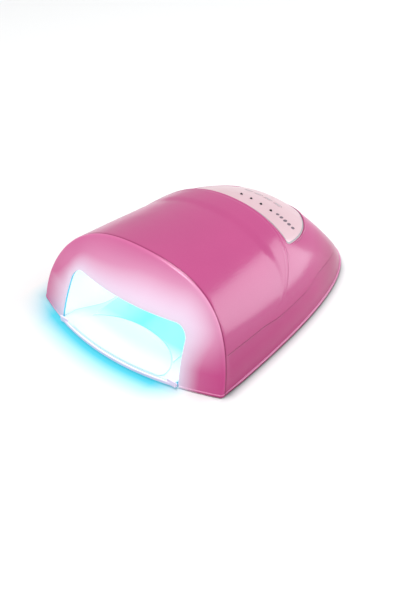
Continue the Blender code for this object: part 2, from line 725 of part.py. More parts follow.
def make_liner(paint):
    runs = [0.0, 0.010, 0.020, 0.030, LINER_FUNNEL_END, LINER_STRAIGHT_END]
    runs += [LINER_STRAIGHT_END + (LINER_END - LINER_STRAIGHT_END) * share for share in (0.4, 0.7, 0.9, 0.98)]
    rows = []
    for run in runs:
        row = []
        for side in side_values(28):
            width = liner_width(run)
            lean = (OPENING_HALF_BOTTOM - OPENING_HALF_TOP) * max(0.0, 1 - run / LINER_FUNNEL_END)
            x, z = opening_outline(width, width - lean, LINER_HEIGHT, min(LINER_CORNER, width * 0.6), side,
                                   LINER_BOTTOM)
            ahead = max(0.0, 1 - run / 0.12) * front_y(x, z)
            row.append(Vector((x, Y_CORNER + LINER_SETBACK + run + ahead, z)))
        rows.append(row)
    rows = [list(reversed(row)) for row in rows]
    liner = sheet_object("reflector_liner", rows, paint, 35)
    add_skin(liner, LINER_WALL)
    holes = [turned_shape(((LED_HOLE, -0.006), (LED_HOLE, 0.006)), 14, place)
             for place in (*ceiling_led_places(), *side_led_places())]
    add_boolean(liner, add_mesh("cut_led_holes", *join_shapes(holes)))


def ceiling_led_places():
    """Frames on the cavity's ceiling whose +Z points up, away from the cavity."""
    return [Matrix.Translation((x, y, LINER_HEIGHT)) for y in CEILING_LED_Y
            for x in (-CEILING_LED_X, CEILING_LED_X)]


def side_led_places():
    """Frames on the cavity's sides whose +Z points outwards, away from the cavity."""
    places = []
    for side in (-1, 1):
        for y in SIDE_LED_Y:
            turn = Matrix.Rotation(side * math.pi / 2, 4, "Y")
            places.append(Matrix.Translation((side * LINER_HALF_WIDTH, y, SIDE_LED_Z)) @ turn)
    return places


def make_emitters(paints):
    board = BOARD_STANDOFF + LINER_WALL
    profile = ((LED_RADIUS * 0.45, -LED_PROUD), (LED_RADIUS * 0.85, -LED_PROUD * 0.55),
               (LED_RADIUS, 0.0), (LED_RADIUS, board - GAP))
    names = [f"uv_led_ceiling_{n}" for n in range(1, 7)]
    names += [f"uv_led_left_{n}" for n in range(1, 4)] + [f"uv_led_right_{n}" for n in range(1, 4)]
    for name, place in zip(names, (*ceiling_led_places(), *side_led_places())):
        add_mesh(name, *turned_shape(profile, 14, place), paints["led"], 40)
    z = LINER_HEIGHT + board
    y0, y1 = CEILING_LED_Y[0] - 0.010, CEILING_LED_Y[-1] + 0.010
    rounded_box("ceiling_led_board", (-0.036, y0, z), (0.036, y1, z + BOARD_THICKNESS), 0.0003,
                paints["white_board"])
    base = z + BOARD_THICKNESS + GAP
    fins, fin_pitch, fin_half = 7, 0.010, 0.0008
    section = [(-0.033, base), (0.033, base)]
    for fin in reversed(range(fins)):
        x = (fin - (fins - 1) / 2) * fin_pitch
        section += [(x + fin_half, base + 0.002), (x + fin_half, base + 0.011),
                    (x - fin_half, base + 0.011), (x - fin_half, base + 0.002)]
    section[2:2] = [(0.033, base + 0.002)]
    section.append((-0.033, base + 0.002))
    rings = [[Vector((x, y, z)) for x, z in section] for y in (y1, y0)]
    add_mesh("led_heat_sink", *loft(rings), paints["aluminium"])
    y0, y1 = SIDE_LED_Y[0] - 0.009, SIDE_LED_Y[-1] + 0.009
    x = LINER_HALF_WIDTH + board
    for side, name in ((-1, "side_led_board_left"), (1, "side_led_board_right")):
        x0, x1 = sorted((side * x, side * (x + BOARD_THICKNESS)))
        rounded_box(name, (x0, y0, SIDE_LED_Z - 0.010), (x1, y1, SIDE_LED_Z + 0.010), 0.0003,
                    paints["white_board"])


# ---------------------------------------------------------------- driver and inlet
def make_inlet(paints):
    """A U-shaped housing that closes the cut in the rear body, with a figure-of-eight mains inlet."""
    outer, inner = INLET_HALF_WIDTH - GAP, INLET_HALF_WIDTH - 0.0021
    wall = 0.0020
    front_y0, rear_y = INLET_Y + GAP, Y_CORNER + SHELL_RUN - 0.0006
    steps = 5
    ys = [mix(front_y0 + wall, rear_y, step / steps) for step in range(steps + 1)]
    outline = [(-outer, front_y0), (0.0, front_y0), (outer, front_y0)]
    outline += [(outer, y) for y in ys]
    outline += [(inner, y) for y in reversed(ys)] + [(0.0, ys[0])] + [(-inner, y) for y in ys]
    outline += [(-outer, y) for y in reversed(ys)]
    low = [Vector((x, y, SHELL_BOTTOM)) for x, y in outline]
    high = [Vector((x, y, surface_z(x, y) - 0.0002)) for x, y in outline]
    housing = add_mesh("inlet_housing", *loft([low, high]), paints["shell"])
    add_boolean(housing, figure_eight("cut_inlet_seat", 0.0098, INLET_Y - 0.01, INLET_Y + 0.01))
    body = figure_eight("mains_inlet", 0.0094, INLET_Y - 0.0150, INLET_Y + GAP + wall + 0.0008,
                        paints["dark"])
    add_boolean(body, figure_eight("cut_inlet_socket", 0.0068, INLET_Y - 0.0110, INLET_Y + 0.02))
    pins = [turned_shape(((0.0012, 0.0), (0.0012, 0.0115)), 8,
                         Matrix.Translation((x, INLET_Y - 0.0115, INLET_Z)) @ Matrix.Rotation(-math.pi / 2, 4, "X"))
            for x in (-0.0043, 0.0043)]
    add_boolean(body, add_mesh("add_inlet_pins", *join_shapes(pins)), "UNION")


def figure_eight(name, radius_x, y0, y1, paint=None):
    """A slot-shaped prism along Y round the inlet's axis."""
    radius = radius_x * 0.62
    reach = radius_x - radius
    right = ellipse_outline(reach, INLET_Z, radius, radius, 8, -math.pi / 2, math.pi)
    ring = right + [(-x, 2 * INLET_Z - z) for x, z in right]
    rings = [[Vector((x, y, z)) for x, z in ring] for y in (y1, y0)]
    return add_mesh(name, *loft(rings), paint, 35 if paint else None)


def make_driver(paints):
    y0, y1 = DRIVER_Y
    top = DRIVER_Z + BOARD_THICKNESS
    rounded_box("driver_board", (-DRIVER_HALF_WIDTH, y0, DRIVER_Z), (DRIVER_HALF_WIDTH, y1, top), 0.0003,
                paints["board"])
    seat = top + GAP
    rounded_box("driver_transformer", (-0.034, y0 + 0.008, seat), (-0.010, y0 + 0.030, seat + 0.019), 0.0012,
                paints["yellow"])
    place = Matrix.Translation((0.004, y0 + 0.020, 0))
    profile = ((0.0064, seat), (0.0068, seat + 0.001), (0.0068, seat + 0.021), (0.0062, seat + 0.022))
    add_mesh("driver_capacitor", *turned_shape(profile, 16, place), paints["dark"], 40)
    rounded_box("driver_heat_sink", (0.018, y0 + 0.006, seat), (0.0215, y0 + 0.032, seat + 0.020), 0.0004,
                paints["aluminium"])
    rounded_box("driver_connector", (0.032, y0 + 0.010, seat), (0.046, y0 + 0.020, seat + 0.008), 0.0004,
                paints["white"])
    wire_z = seat + 0.0014
    tube("mains_wire", ((0.0, INLET_Y - 0.0156, INLET_Z), (0.0, INLET_Y - 0.0185, INLET_Z + 0.001),
                        (0.006, INLET_Y - 0.0220, wire_z + 0.004), (0.008, y1 - 0.0030, wire_z)), 0.0011,
         paints["dark"])
    tube("led_wire", ((0.039, y0 + 0.0092, seat + 0.004), (0.039, y0 + 0.0075, seat + 0.004),
                      (0.045, y0 + 0.001, seat + 0.011), (0.053, 0.036, 0.040), (0.046, 0.022, 0.0590),
                      (0.034, 0.0120, 0.0596), (0.030, 0.0062, 0.0592)), 0.0011, paints["dark"])


def main():
    for obj in list(bpy.data.objects):
        bpy.data.objects.remove(obj)
    paints = {
        "shell": material("pearl_pink_abs", PINK, 0.25),
        "base": material("base_pink_abs", PINK, 0.35),
        "overlay": material("overlay_film", PALE_PINK, 0.35),
        "lens": material("smoked_lens", DARK, 0.2),
        "tray": material("tray_white", WHITE, 0.3),
        "white": material("white_abs", WHITE, 0.4),
        "mirror": material("mirror_sheet", (0.8, 0.88, 0.9), 0.1, 1.0),
        "clear": material("clear_lip", (0.85, 0.8, 0.85), 0.1),
        "liner": material("liner_white", WHITE, 0.3),
        "led": material("uv_led_lens", (0.75, 0.85, 0.95), 0.1),
        "board": material("green_board", GREEN, 0.5),
        "white_board": material("white_board", (0.8, 0.82, 0.8), 0.5),
        "aluminium": material("aluminium", (0.7, 0.7, 0.72), 0.4, 1.0),
        "dark": material("black_plastic", DARK, 0.5),
        "yellow": material("transformer_tape", (0.75, 0.6, 0.1), 0.5),
        "rubber": material("rubber", DARK, 0.8),
        "steel": material("steel", STEEL, 0.35, 1.0),
    }
    make_top_shell(paints["shell"])
    make_base_plate(paints["base"])
    make_feet_and_screws(paints["rubber"], paints["steel"])
    make_control_panel(paints)
    make_tray(paints)
    make_liner(paints["liner"])
    make_emitters(paints)
    make_inlet(paints)
    make_driver(paints)


main()
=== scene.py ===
"""Looks of the nail lamp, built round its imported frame. Metres, +Z up, hand opening towards -Y."""

from math import atan2, copysign, cos, hypot, pi, radians, sin, sqrt

import bmesh
import bpy
from mathutils import Matrix, Vector


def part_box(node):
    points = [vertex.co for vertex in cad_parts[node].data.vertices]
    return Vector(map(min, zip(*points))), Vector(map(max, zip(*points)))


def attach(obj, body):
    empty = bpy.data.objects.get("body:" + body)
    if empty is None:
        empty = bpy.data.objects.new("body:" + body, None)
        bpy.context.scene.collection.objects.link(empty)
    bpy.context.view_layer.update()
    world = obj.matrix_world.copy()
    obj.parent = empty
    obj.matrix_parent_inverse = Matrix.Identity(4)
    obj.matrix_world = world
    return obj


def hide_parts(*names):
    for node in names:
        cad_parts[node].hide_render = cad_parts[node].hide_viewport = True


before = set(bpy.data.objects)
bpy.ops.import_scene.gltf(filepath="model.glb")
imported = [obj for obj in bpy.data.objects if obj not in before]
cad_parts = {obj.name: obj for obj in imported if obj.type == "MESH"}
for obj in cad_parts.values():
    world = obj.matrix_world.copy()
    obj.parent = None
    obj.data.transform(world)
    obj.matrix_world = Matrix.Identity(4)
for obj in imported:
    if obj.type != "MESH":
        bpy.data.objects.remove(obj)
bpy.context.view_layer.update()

# ---------------- sizes, as in the design
FLANGE = 0.0010
HALF_WIDTH = 0.1067 - FLANGE
SECTION_RUN = 0.2427        # from the front corners to where the plan outline closes
SHELL_RUN = 0.2410          # from the front corners to the flat rear end
PLAN_POWERS = (2.711, 4.274)
FRONT_BULGE = 0.024
FRONT_LEAN = 0.149
FRONT_CURL = 4.2
Y_CORNER = (FRONT_BULGE - SHELL_RUN) / 2
CROWN_HEIGHTS = ((0.0, 0.0901), (0.0744, 0.0851), (0.1364, 0.0803), (0.1984, 0.0581), (0.2427, 0.0089))
ARCH_FRONT = (0.029, 0.649, 0.687)
ARCH_REAR = (0.010, 0.532, 0.514)
ARCH_BLEND_RUN = 0.1984
WALL = 0.0024
RIM_RADIUS = 0.0027
END_RADIUS = 0.0030
LIP_RADIUS = 0.0008
GROOVE_DEPTH = 0.0004       # the fine groove between the rim and the hood; the profile goes back and down
GROOVE_PROFILE = ((0.0002, 0.1), (0.0004, 0.8), (0.0006, 1.0), (0.0008, 0.8), (0.0010, 0.1))
HOOD_START = RIM_RADIUS + 0.0012
CREASE_LEVEL = 0.225        # share of the arch at which a crease runs along the flank
CREASE_SHIFTS = ((0.0, 0.004), (0.057, 0.002), (0.093, -0.018), (0.130, -0.017), (0.163, 0.025),
                 (0.241, 0.040))
CREASE_STEP = 0.006         # share of the arch over which the flank steps back
CREASE_DEPTH = 0.0007
GAP = 0.0003

VISOR_RUN = 0.1455
VISOR_SWEEP = 0.1617
VISOR_REACH = 0.80
VISOR_RISE = 0.0025
VISOR_LENGTH = 0.035

OPENING_HALF_BOTTOM = 0.0689
OPENING_HALF_TOP = 0.0661
OPENING_HEIGHT = 0.053
OPENING_CORNER = 0.013

PANEL_HALF_WIDTH = 0.0655
PANEL_DEPTH = 0.0715
PANEL_Y = 0.0338
PANEL_BOW = 0.0050
PANEL_TOP = 0.0001
PANEL_THICKNESS = 0.0009
PANEL_POCKET = 0.00135
DOT_X, KEY_X, CONTROL_PITCH = -0.0042, -0.0108, 0.0114
DOT_Y, KEY_Y = 0.0546, 0.0750
DOT_RADIUS = 0.0012
KEY_HALF_LENGTH, KEY_HALF_WIDTH = 0.0043, 0.0026
STEM_RADIUS = 0.0016

PAD_HALF_WIDTH, PAD_HALF_DEPTH, PAD_Y = 0.0535, 0.0335, -0.1209
LIP_THICKNESS = 0.0016
LIP_BOTTOM = 0.0016
LINER_SETBACK = 0.0027
LINER_WALL = 0.0012
LINER_HALF_WIDTH = 0.051
LINER_HEIGHT = 0.053
LINER_CORNER = 0.013
LINER_FUNNEL_END = 0.0424
LINER_STRAIGHT_END = 0.1215
LINER_END = 0.1500
LED_RADIUS, LED_HOLE, LED_PROUD = 0.0040, 0.0045, 0.0015
INLET_Y, INLET_HALF_WIDTH, INLET_Z = 0.1095, 0.0190, 0.0160

BASE_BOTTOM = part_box("base_plate")[0].z
BASE_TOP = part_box("base_plate")[1].z
SHELL_BOTTOM = BASE_TOP + 0.0001
TRAY_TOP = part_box("tray_plate")[1].z


# ---------------- materials
def linear(red, green, blue):
    """Linear colour from an 8-bit display colour."""
    def channel(value):
        value /= 255
        return value / 12.92 if value <= 0.04045 else ((value + 0.055) / 1.055) ** 2.4
    return channel(red), channel(green), channel(blue), 1.0


class Field:
    """A value that varies over the surface: a shader socket that can be calculated with."""

    def __init__(self, paint, socket):
        self.paint, self.socket = paint, socket

    def math(self, operation, other=0.0, swap=False, clamp=False):
        made = self.paint.tree.nodes.new("ShaderNodeMath")
        made.operation = operation
        made.use_clamp = clamp
        for socket, value in zip(made.inputs, (other, self) if swap else (self, other)):
            self.paint.feed(socket, value)
        return Field(self.paint, made.outputs["Value"])

    def __add__(self, other):
        return self.math("ADD", other)

    def __sub__(self, other):
        return self.math("SUBTRACT", other)

    def __rsub__(self, other):
        return self.math("SUBTRACT", other, swap=True)

    def __mul__(self, other):
        return self.math("MULTIPLY", other)

    def __truediv__(self, other):
        return self.math("DIVIDE", other)

    def __pow__(self, other):
        return self.math("POWER", other)

    def at_least(self, other):
        return self.math("MAXIMUM", other)

    def part(self, none, full):
        """Share from 0 to 1 as the value goes from one level to another."""
        return (self - none).math("DIVIDE", full - none, clamp=True)


class Paint:
    """A Principled material and short ways to add nodes in front of it."""

    def __init__(self, name, color, roughness, metallic=0.0, **sockets):
        self.material = bpy.data.materials.new(name)
        self.material.use_nodes = True
        self.tree = self.material.node_tree
        self.shader = self.tree.nodes["Principled BSDF"]
        self.set("Base Color", color)
        self.set("Roughness", roughness)
        self.set("Metallic", metallic)
        for socket, value in sockets.items():
            self.set(socket.replace("_", " "), value)
        self.coordinates = self.tree.nodes.new("ShaderNodeTexCoord").outputs["Object"]

    def set(self, socket, value):
        self.feed(self.shader.inputs[socket], value)

    def feed(self, socket, value):
        value = getattr(value, "socket", value)
        if isinstance(value, bpy.types.NodeSocket):
            self.tree.links.new(value, socket)
        else:
            socket.default_value = value

    def node(self, kind, **inputs):
        made = self.tree.nodes.new(kind)
        for socket, value in inputs.items():
            self.feed(made.inputs[socket.replace("_", " ")], value)
        return made

    def noise(self, scale, detail=2.0, vector=None):
        made = self.node("ShaderNodeTexNoise", Vector=vector or self.coordinates, Scale=scale, Detail=detail)
        return Field(self, made.outputs["Fac"])

    def ramp(self, value, *stops):
        made = self.node("ShaderNodeValToRGB", Fac=value)
        for element, (place, color) in zip(made.color_ramp.elements, stops):
            element.position = place
            element.color = color if hasattr(color, "__len__") else (color, color, color, 1.0)
        return Field(self, made.outputs["Color"])

    def cloud(self, scale, detail, low, high, first=0.0, second=1.0):
        """A noise drawn apart, from one level at its low share to another at its high share."""
        return self.ramp(self.noise(scale, detail), (low, first), (high, second))

    def blend(self, share, first, second):
        made = self.tree.nodes.new("ShaderNodeMix")
        made.data_type = "RGBA"
        for socket, value in (("Factor", share), (6, first), (7, second)):
            self.feed(made.inputs[socket], value)
        return made.outputs[2]

    def bump(self, height, strength, distance):
        made = self.node("ShaderNodeBump", Height=height, Strength=strength, Distance=distance)
        self.set("Normal", made.outputs["Normal"])

    def axes(self):
        made = self.node("ShaderNodeSeparateXYZ", Vector=self.coordinates)
        return [Field(self, made.outputs[axis]) for axis in "XYZ"]


def shaded(color, share):
    return tuple(channel * share for channel in color[:3]) + (1.0,)


PINK = linear(171, 63, 117)
PINK_LIGHT = linear(222, 128, 176)
PANEL_PINK = linear(200, 168, 175)
GLOW = linear(226, 253, 253)
CYAN = linear(120, 232, 245)


def pearl_pink(name, painted_light=False):
    """Pearl ABS: very fine bright flakes under a clear coat."""
    paint = Paint(name, PINK, 0.36, Specular_IOR_Level=0.2, Coat_Weight=0.55, Coat_Roughness=0.17)
    flakes = paint.cloud(2600, 1.0, 0.42, 0.72)
    cloud = paint.cloud(14, 3.0, 0.35, 0.65)
    tone = paint.blend(cloud, linear(169, 62, 116), linear(173, 65, 119))
    tone = paint.blend(flakes * 0.05, tone, PINK_LIGHT)
    paint.set("Base Color", tone)
    paint.set("Roughness", paint.cloud(60, 4.0, 0.3, 0.7, 0.34, 0.38))
    paint.bump(paint.noise(420, 2.0), 0.02, 0.0002)
    # The front moulding gets painted light and shade on top of the pearl finish.
    if painted_light:
        paint_front_light_and_shade(paint, tone)
    return paint.material


def paint_front_light_and_shade(paint, tone):
    """Painted light and shade on the front of the body: a glow painted round the opening, in its colour and
    as emission, standing in for the lamp's light coming through the thin front wall.

    It also paints shade on the lowest part of the body, its low rear flank and the base's side, a highlight
    along the foot line, shade in the groove behind the rim and cyan light on the opening's inner edge.
    """
    x, y, z = paint.axes()
    side = (x.math("ABSOLUTE") - (OPENING_HALF_BOTTOM - z * 0.07) + OPENING_CORNER).at_least(0.0)
    above = (z - (OPENING_HEIGHT - OPENING_CORNER)).at_least(0.0)
    away = (side * side + above * above).math("SQRT") - OPENING_CORNER
    across = x / HALF_WIDTH
    face = across * across * FRONT_BULGE + z * FRONT_LEAN + z * z * FRONT_CURL + (Y_CORNER - FRONT_BULGE)
    behind = y - face
    on_face = behind.part(0.0026, 0.0016)
    # Painted glow round the opening: a tight one whose reach changes over the face, and a broad one; both are
    # painted into the colour and the emission.
    low = z.part(0.050, 0.024) * (x.part(-0.08, 0.14) - 0.3)
    upper_left = x.part(0.005, -0.075) * z.part(0.030, 0.050)
    narrow = low + 1.0 + upper_left * 0.9
    close = (away * narrow).part(0.026, 0.0) ** 1.25 * on_face
    wide_glow = away.part(0.048, 0.0) ** 1.5 * (x.part(-0.07, 0.02) * 0.75 + 0.25)
    wide_glow = wide_glow * (z.part(0.020, 0.055) * 0.85 + 0.15) * on_face
    # Painted light: cyan on the inner edge of the opening, in the colour and the emission.
    edge = behind.part(0.0005, 0.0009) * away.part(0.0008, 0.0004) * behind.part(0.0050, 0.0040)
    # Painted shade: a dark line in the groove behind the rim.
    seam_shade = behind.part(0.0028, 0.0032) * behind.part(0.0042, 0.0036)
    # Painted highlight: a pale line along the foot of the body, fading out towards the left.
    foot = z.part(0.0025, 0.0028) * z.part(0.0037, 0.0033) * x.part(-0.14, 0.06)
    # Painted shade: darker on the lowest part of the body, more so on its low rear flank, darkest on the
    # base's side; then the painted highlight, glows, groove shade and edge light.
    for share, color in ((z.part(0.045, 0.022), linear(166, 28, 104)),
                         (z.part(0.045, 0.022) * y.part(0.040, 0.080) * 0.7, linear(140, 6, 80)),
                         (z.part(0.0026, 0.0020), linear(122, 14, 70)),
                         (foot * 0.5, linear(240, 176, 212)),
                         (wide_glow, linear(244, 202, 230)),
                         (close, linear(216, 198, 215)),
                         (seam_shade * 0.85, linear(130, 24, 80)),
                         (edge, linear(70, 160, 184))):
        tone = paint.blend(share, tone, color)
    paint.set("Base Color", tone)
    # The emission is painted light: a faint pink glow over the whole front face, paler where the glows round
    # the opening are painted, cyan on the opening's inner edge.
    light = (0.17, 0.015, 0.075, 1.0)
    for share, color in ((wide_glow, (0.23, 0.23, 0.26, 1.0)), (close, (0.17, 0.16, 0.21, 1.0)),
                         (edge, (0.03, 0.19, 0.25, 1.0))):
        light = paint.blend(share, light, color)
    paint.set("Emission Color", light)
    paint.set("Emission Strength", on_face.at_least(edge))


def plastic(name, color, roughness=0.35, grain=700, depth=0.05, **sockets):
    """Moulded plastic: a fine grain and a slight unevenness of gloss."""
    paint = Paint(name, color, roughness, **sockets)
    cloud = paint.cloud(22, 3.0, 0.3, 0.7)
    paint.set("Base Color", paint.blend(cloud, color, shaded(color, 0.94)))
    paint.set("Roughness", paint.cloud(90, 3.0, 0.3, 0.7, roughness * 0.9, roughness * 1.12))
    paint.bump(paint.noise(grain, 2.0), depth, 0.0002)
    return paint.material


def plastic_with_painted_glow(name, color, glow, strength, roughness=0.3):
    """White moulding with painted light: an emission that stands in for the lamp's light flooding it, and a
    faint pull of light and dark across it.
    """
    paint = Paint(name, color, roughness)
    cloud = paint.cloud(16, 2.0, 0.35, 0.65)
    paint.set("Base Color", paint.blend(cloud, color, shaded(color, 0.96)))
    paint.set("Emission Color", paint.blend(cloud, glow, shaded(glow, 0.93)))
    paint.set("Emission Strength", strength)
    paint.bump(paint.noise(500, 2.0), 0.03, 0.0002)
    return paint.material


def metal(name, color, roughness, stretch=60):
    """Rolled or extruded metal with fine lines along Y."""
    paint = Paint(name, color, roughness, 1.0)
    scale = (stretch * 30, stretch, stretch * 30)
    lines = paint.node("ShaderNodeMapping", Vector=paint.coordinates, Scale=scale)
    grain = paint.noise(1.0, 3.0, vector=lines.outputs["Vector"])
    paint.set("Base Color", paint.blend(grain, shaded(color, 0.82), color))
    paint.set("Roughness", paint.ramp(grain, (0.3, roughness * 0.8), (0.7, roughness * 1.2)))
    paint.bump(grain, 0.08, 0.0001)
    return paint.material


def board(name, color, track):
    """A printed circuit board: solder mask with tracks in a slightly lighter tone."""
    paint = Paint(name, color, 0.35, Coat_Weight=0.3, Coat_Roughness=0.2)
    tracks = paint.node("ShaderNodeTexBrick", Vector=paint.coordinates, Scale=160.0, Mortar_Size=0.03,
                        Color1=color, Color2=shaded(color, 0.9), Mortar=track)
    paint.set("Base Color", tracks.outputs["Color"])
    paint.bump(tracks.outputs["Fac"], 0.1, 0.0001)
    return paint.material


def make_materials():
    # The clear lip is given a faint painted glow of the lamp's light as emission.
    clear = Paint("lip_clear", linear(234, 220, 238), 0.14, Transmission_Weight=0.12, IOR=1.49,
                  Emission_Color=linear(224, 206, 236), Emission_Strength=0.16)
    clear.set("Base Color", clear.blend(clear.noise(40), linear(236, 222, 240), linear(226, 210, 232)))
    clear.bump(clear.noise(300), 0.03, 0.0002)
    lens = Paint("led_dome", linear(205, 240, 255), 0.06, Transmission_Weight=0.5, IOR=1.5,
                 Emission_Color=CYAN, Emission_Strength=1.5)
    lens.set("Base Color", lens.blend(lens.noise(300), linear(205, 240, 255), linear(190, 232, 255)))
    # The mirror film's cyan is painted light: the lamp's light it reflects is painted into its colour, with
    # darker and paler parts across it, a fade to near white towards the front and a faint emission.
    mirror = Paint("mirror_film", linear(150, 232, 244), 0.16, 0.45,
                   Emission_Color=linear(150, 240, 250), Emission_Strength=0.05)
    across, along, _ = mirror.axes()
    shade = mirror.ramp(across * 14.0 + mirror.noise(30) * 0.2,
                        (0.0, linear(116, 214, 232)), (0.45, linear(140, 222, 234)))
    pale = mirror.ramp((across + 0.052) * 18.0, (0.0, linear(240, 249, 251)), (0.85, linear(126, 216, 232)))
    ahead = (-0.088 - along).math("MULTIPLY", 50.0, clamp=True)
    mirror.set("Base Color", mirror.blend(ahead, mirror.blend(0.5, shade, pale), linear(244, 252, 253)))
    mirror.bump(mirror.noise(90, 3.0), 0.05, 0.0003)
    return {
        "shell": pearl_pink("pearl_pink_painted_light", painted_light=True),
        "pink": pearl_pink("pearl_pink_plain"),
        # Painted shade along the flank's crease.
        "crease": plastic("pearl_pink_crease_shade", linear(122, 14, 72), 0.6, Specular_IOR_Level=0.1),
        "overlay": plastic("panel_film", PANEL_PINK, 0.38, 1500, 0.03, Coat_Weight=0.2),
        "border": plastic("panel_border", linear(138, 142, 148), 0.45),
        "mark": plastic("panel_mark", linear(150, 148, 154), 0.5),
        "dark_mark": plastic("panel_dark_mark", linear(100, 84, 96), 0.5),
        "lens": plastic("smoked_lens", linear(22, 15, 28), 0.4),
        "liner": plastic_with_painted_glow("liner_white", linear(232, 240, 241), linear(255, 255, 255), 0.30),
        "tray": plastic_with_painted_glow("tray_white", linear(206, 238, 240), GLOW, 0.12),
        "mirror": mirror.material,
        "clear": clear.material,
        "led": lens.material,
        "white": plastic("white_plastic", (0.80, 0.82, 0.82, 1.0), 0.4),
        "black": plastic("black_plastic", (0.018, 0.018, 0.02, 1.0), 0.42, 900, 0.12),
        "rubber": plastic("foot_rubber", (0.02, 0.02, 0.02, 1.0), 0.75, 500, 0.3),
        "tape": plastic("winding_tape", linear(214, 176, 60), 0.35),
        "green": board("green_board", linear(24, 92, 52), linear(60, 132, 84)),
        "white_board": board("white_board", linear(226, 232, 228), linear(206, 208, 200)),
        "aluminium": metal("extruded_aluminium", (0.72, 0.72, 0.74, 1.0), 0.35),
        "steel": metal("zinc_steel", (0.60, 0.60, 0.62, 1.0), 0.3, 200),
        "brass": metal("plated_pins", linear(214, 206, 190), 0.22, 200),
    }


# ---------------- making pieces
def link(name, data):
    obj = bpy.data.objects.new(name, data)
    bpy.context.scene.collection.objects.link(obj)
    return obj


def new_object(name, points, faces, *paints, smooth=40):
    mesh = bpy.data.meshes.new(name)
    mesh.from_pydata([tuple(p) for p in points], [], faces)
    for paint in paints:
        mesh.materials.append(paint)
    if smooth:
        smooth_mesh(mesh, smooth)
    return link(name, mesh)


def smooth_mesh(mesh, angle):
    mesh.shade_smooth()
    mesh.set_sharp_from_angle(angle=radians(angle))


def piece(obj, slot, *nodes, body="housing"):
    """Hangs a finished piece on its body, in place of its CAD nodes. Its slot is not used."""
    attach(obj, body)
    if nodes:
        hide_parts(*nodes)


def add_piece(name, shape, paint, slot, *nodes, body="housing"):
    """Makes a piece that needs no cutting and hangs it on its body."""
    piece(new_object(name, *shape, paint), slot, *nodes, body=body)


def join_shapes(shapes):
    points, faces = [], []
    for shape_points, shape_faces in shapes:
        first = len(points)
        points += shape_points
        faces += [tuple(first + index for index in face) for face in shape_faces]
    return points, faces


def loft(rings, closed_rings=True, caps=True):
    """Skin over rings of equally many points, given so that the skin faces outwards."""
    count = len(rings[0])
    points = [point for ring in rings for point in ring]
    spans = count if closed_rings else count - 1
    faces = []
    for ring in range(len(rings) - 1):
        for spot in range(spans):
            a = ring * count + spot
            b = ring * count + (spot + 1) % count
            faces.append((a, b, b + count, a + count))
    if caps:
        faces.append(tuple(reversed(range(count))))
        last = (len(rings) - 1) * count
        faces.append(tuple(last + spot for spot in range(count)))
    return points, faces


def prism(outline, bottom, top):
    return loft([[Vector((x, y, z)) for x, y in outline] for z in (bottom, top)])


def box_shape(low, high):
    (x0, y0, z0), (x1, y1, z1) = low, high
    return prism(((x0, y0), (x1, y0), (x1, y1), (x0, y1)), z0, z1)


def inset_outline(outline, amount):
    """A plan outline moved inwards along its normals."""
    moved = []
    for before, point, after in zip(outline[-1:] + outline, outline, outline[1:] + outline[:1]):
        tangent = Vector(after) - Vector(before)
        moved.append(tuple(Vector(point) - Vector((tangent.y, -tangent.x)).normalized() * amount))
    return moved


def rounded_prism(outline, bottom, top, radius, steps=3):
    """An upright prism over an anticlockwise outline, with rounded edges above and below."""
    rings = []
    for step in range(steps + 1):
        angle = pi / 2 * step / steps
        inset, drop = radius * (1 - sin(angle)), radius * (1 - cos(angle))
        rings.append((inset, bottom + drop))
    rings += [(inset, top + bottom - level) for inset, level in reversed(rings)]
    return loft([[Vector((x, y, level)) for x, y in inset_outline(outline, inset)] for inset, level in rings])


def ellipse_outline(x, y, half_x, half_y, count, start=0.0, turn=2 * pi):
    steps = count if abs(turn) >= 2 * pi else count + 1
    angles = [start + turn * step / count for step in range(steps)]
    return [(x + half_x * cos(a), y + half_y * sin(a)) for a in angles]


def slot_outline(half_length, radius, steps):
    """Two half circles and the straight lines between them."""
    right = ellipse_outline(half_length - radius, 0, radius, radius, steps, -pi / 2, pi)
    return right + [(-x, -y) for x, y in right]


def turned_shape(profile, segments, place=Matrix()):
    """A turned solid from (radius, height) points that run up its outer side."""
    return loft([[place @ Vector((x, y, height)) for x, y in ellipse_outline(0, 0, radius, radius, segments)]
                 for radius, height in profile])


def at(x, y, z):
    return Matrix.Translation((x, y, z))


def finish_mesh(obj, smooth=40):
    """Replaces an object's mesh by what its modifiers make of it."""
    graph = bpy.context.evaluated_depsgraph_get()
    made = bpy.data.meshes.new_from_object(obj.evaluated_get(graph))
    obj.modifiers.clear()
    obj.data = made
    smooth_mesh(made, smooth)


def modify(obj, kind, smooth=40, **settings):
    modifier = obj.modifiers.new(kind.lower(), kind)
    for name, value in settings.items():
        setattr(modifier, name, value)
    finish_mesh(obj, smooth)


def carve(obj, shapes, smooth=40):
    """Cuts shapes out of a piece."""
    cutter = new_object("cutter", *join_shapes(shapes), smooth=None)
    modify(obj, "BOOLEAN", smooth, operation="DIFFERENCE", solver="EXACT", object=cutter)
    bpy.data.objects.remove(cutter)


def soften(obj, width, segments):
    modify(obj, "BEVEL", width=width, segments=segments, limit_method="ANGLE", angle_limit=radians(40))


def face_outwards(obj):
    bm = bmesh.new()
    bm.from_mesh(obj.data)
    bmesh.ops.recalc_face_normals(bm, faces=bm.faces)
    bm.to_mesh(obj.data)
    bm.free()


# ---------------- the outer surface
def mix(a, b, share):
    return a + (b - a) * share


def spread(start, stop, steps):
    """Values evenly spread from start to stop."""
    return [mix(start, stop, step / steps) for step in range(steps + 1)]


def smooth_step(value):
    value = min(1.0, max(0.0, value))
    return value * value * (3 - 2 * value)


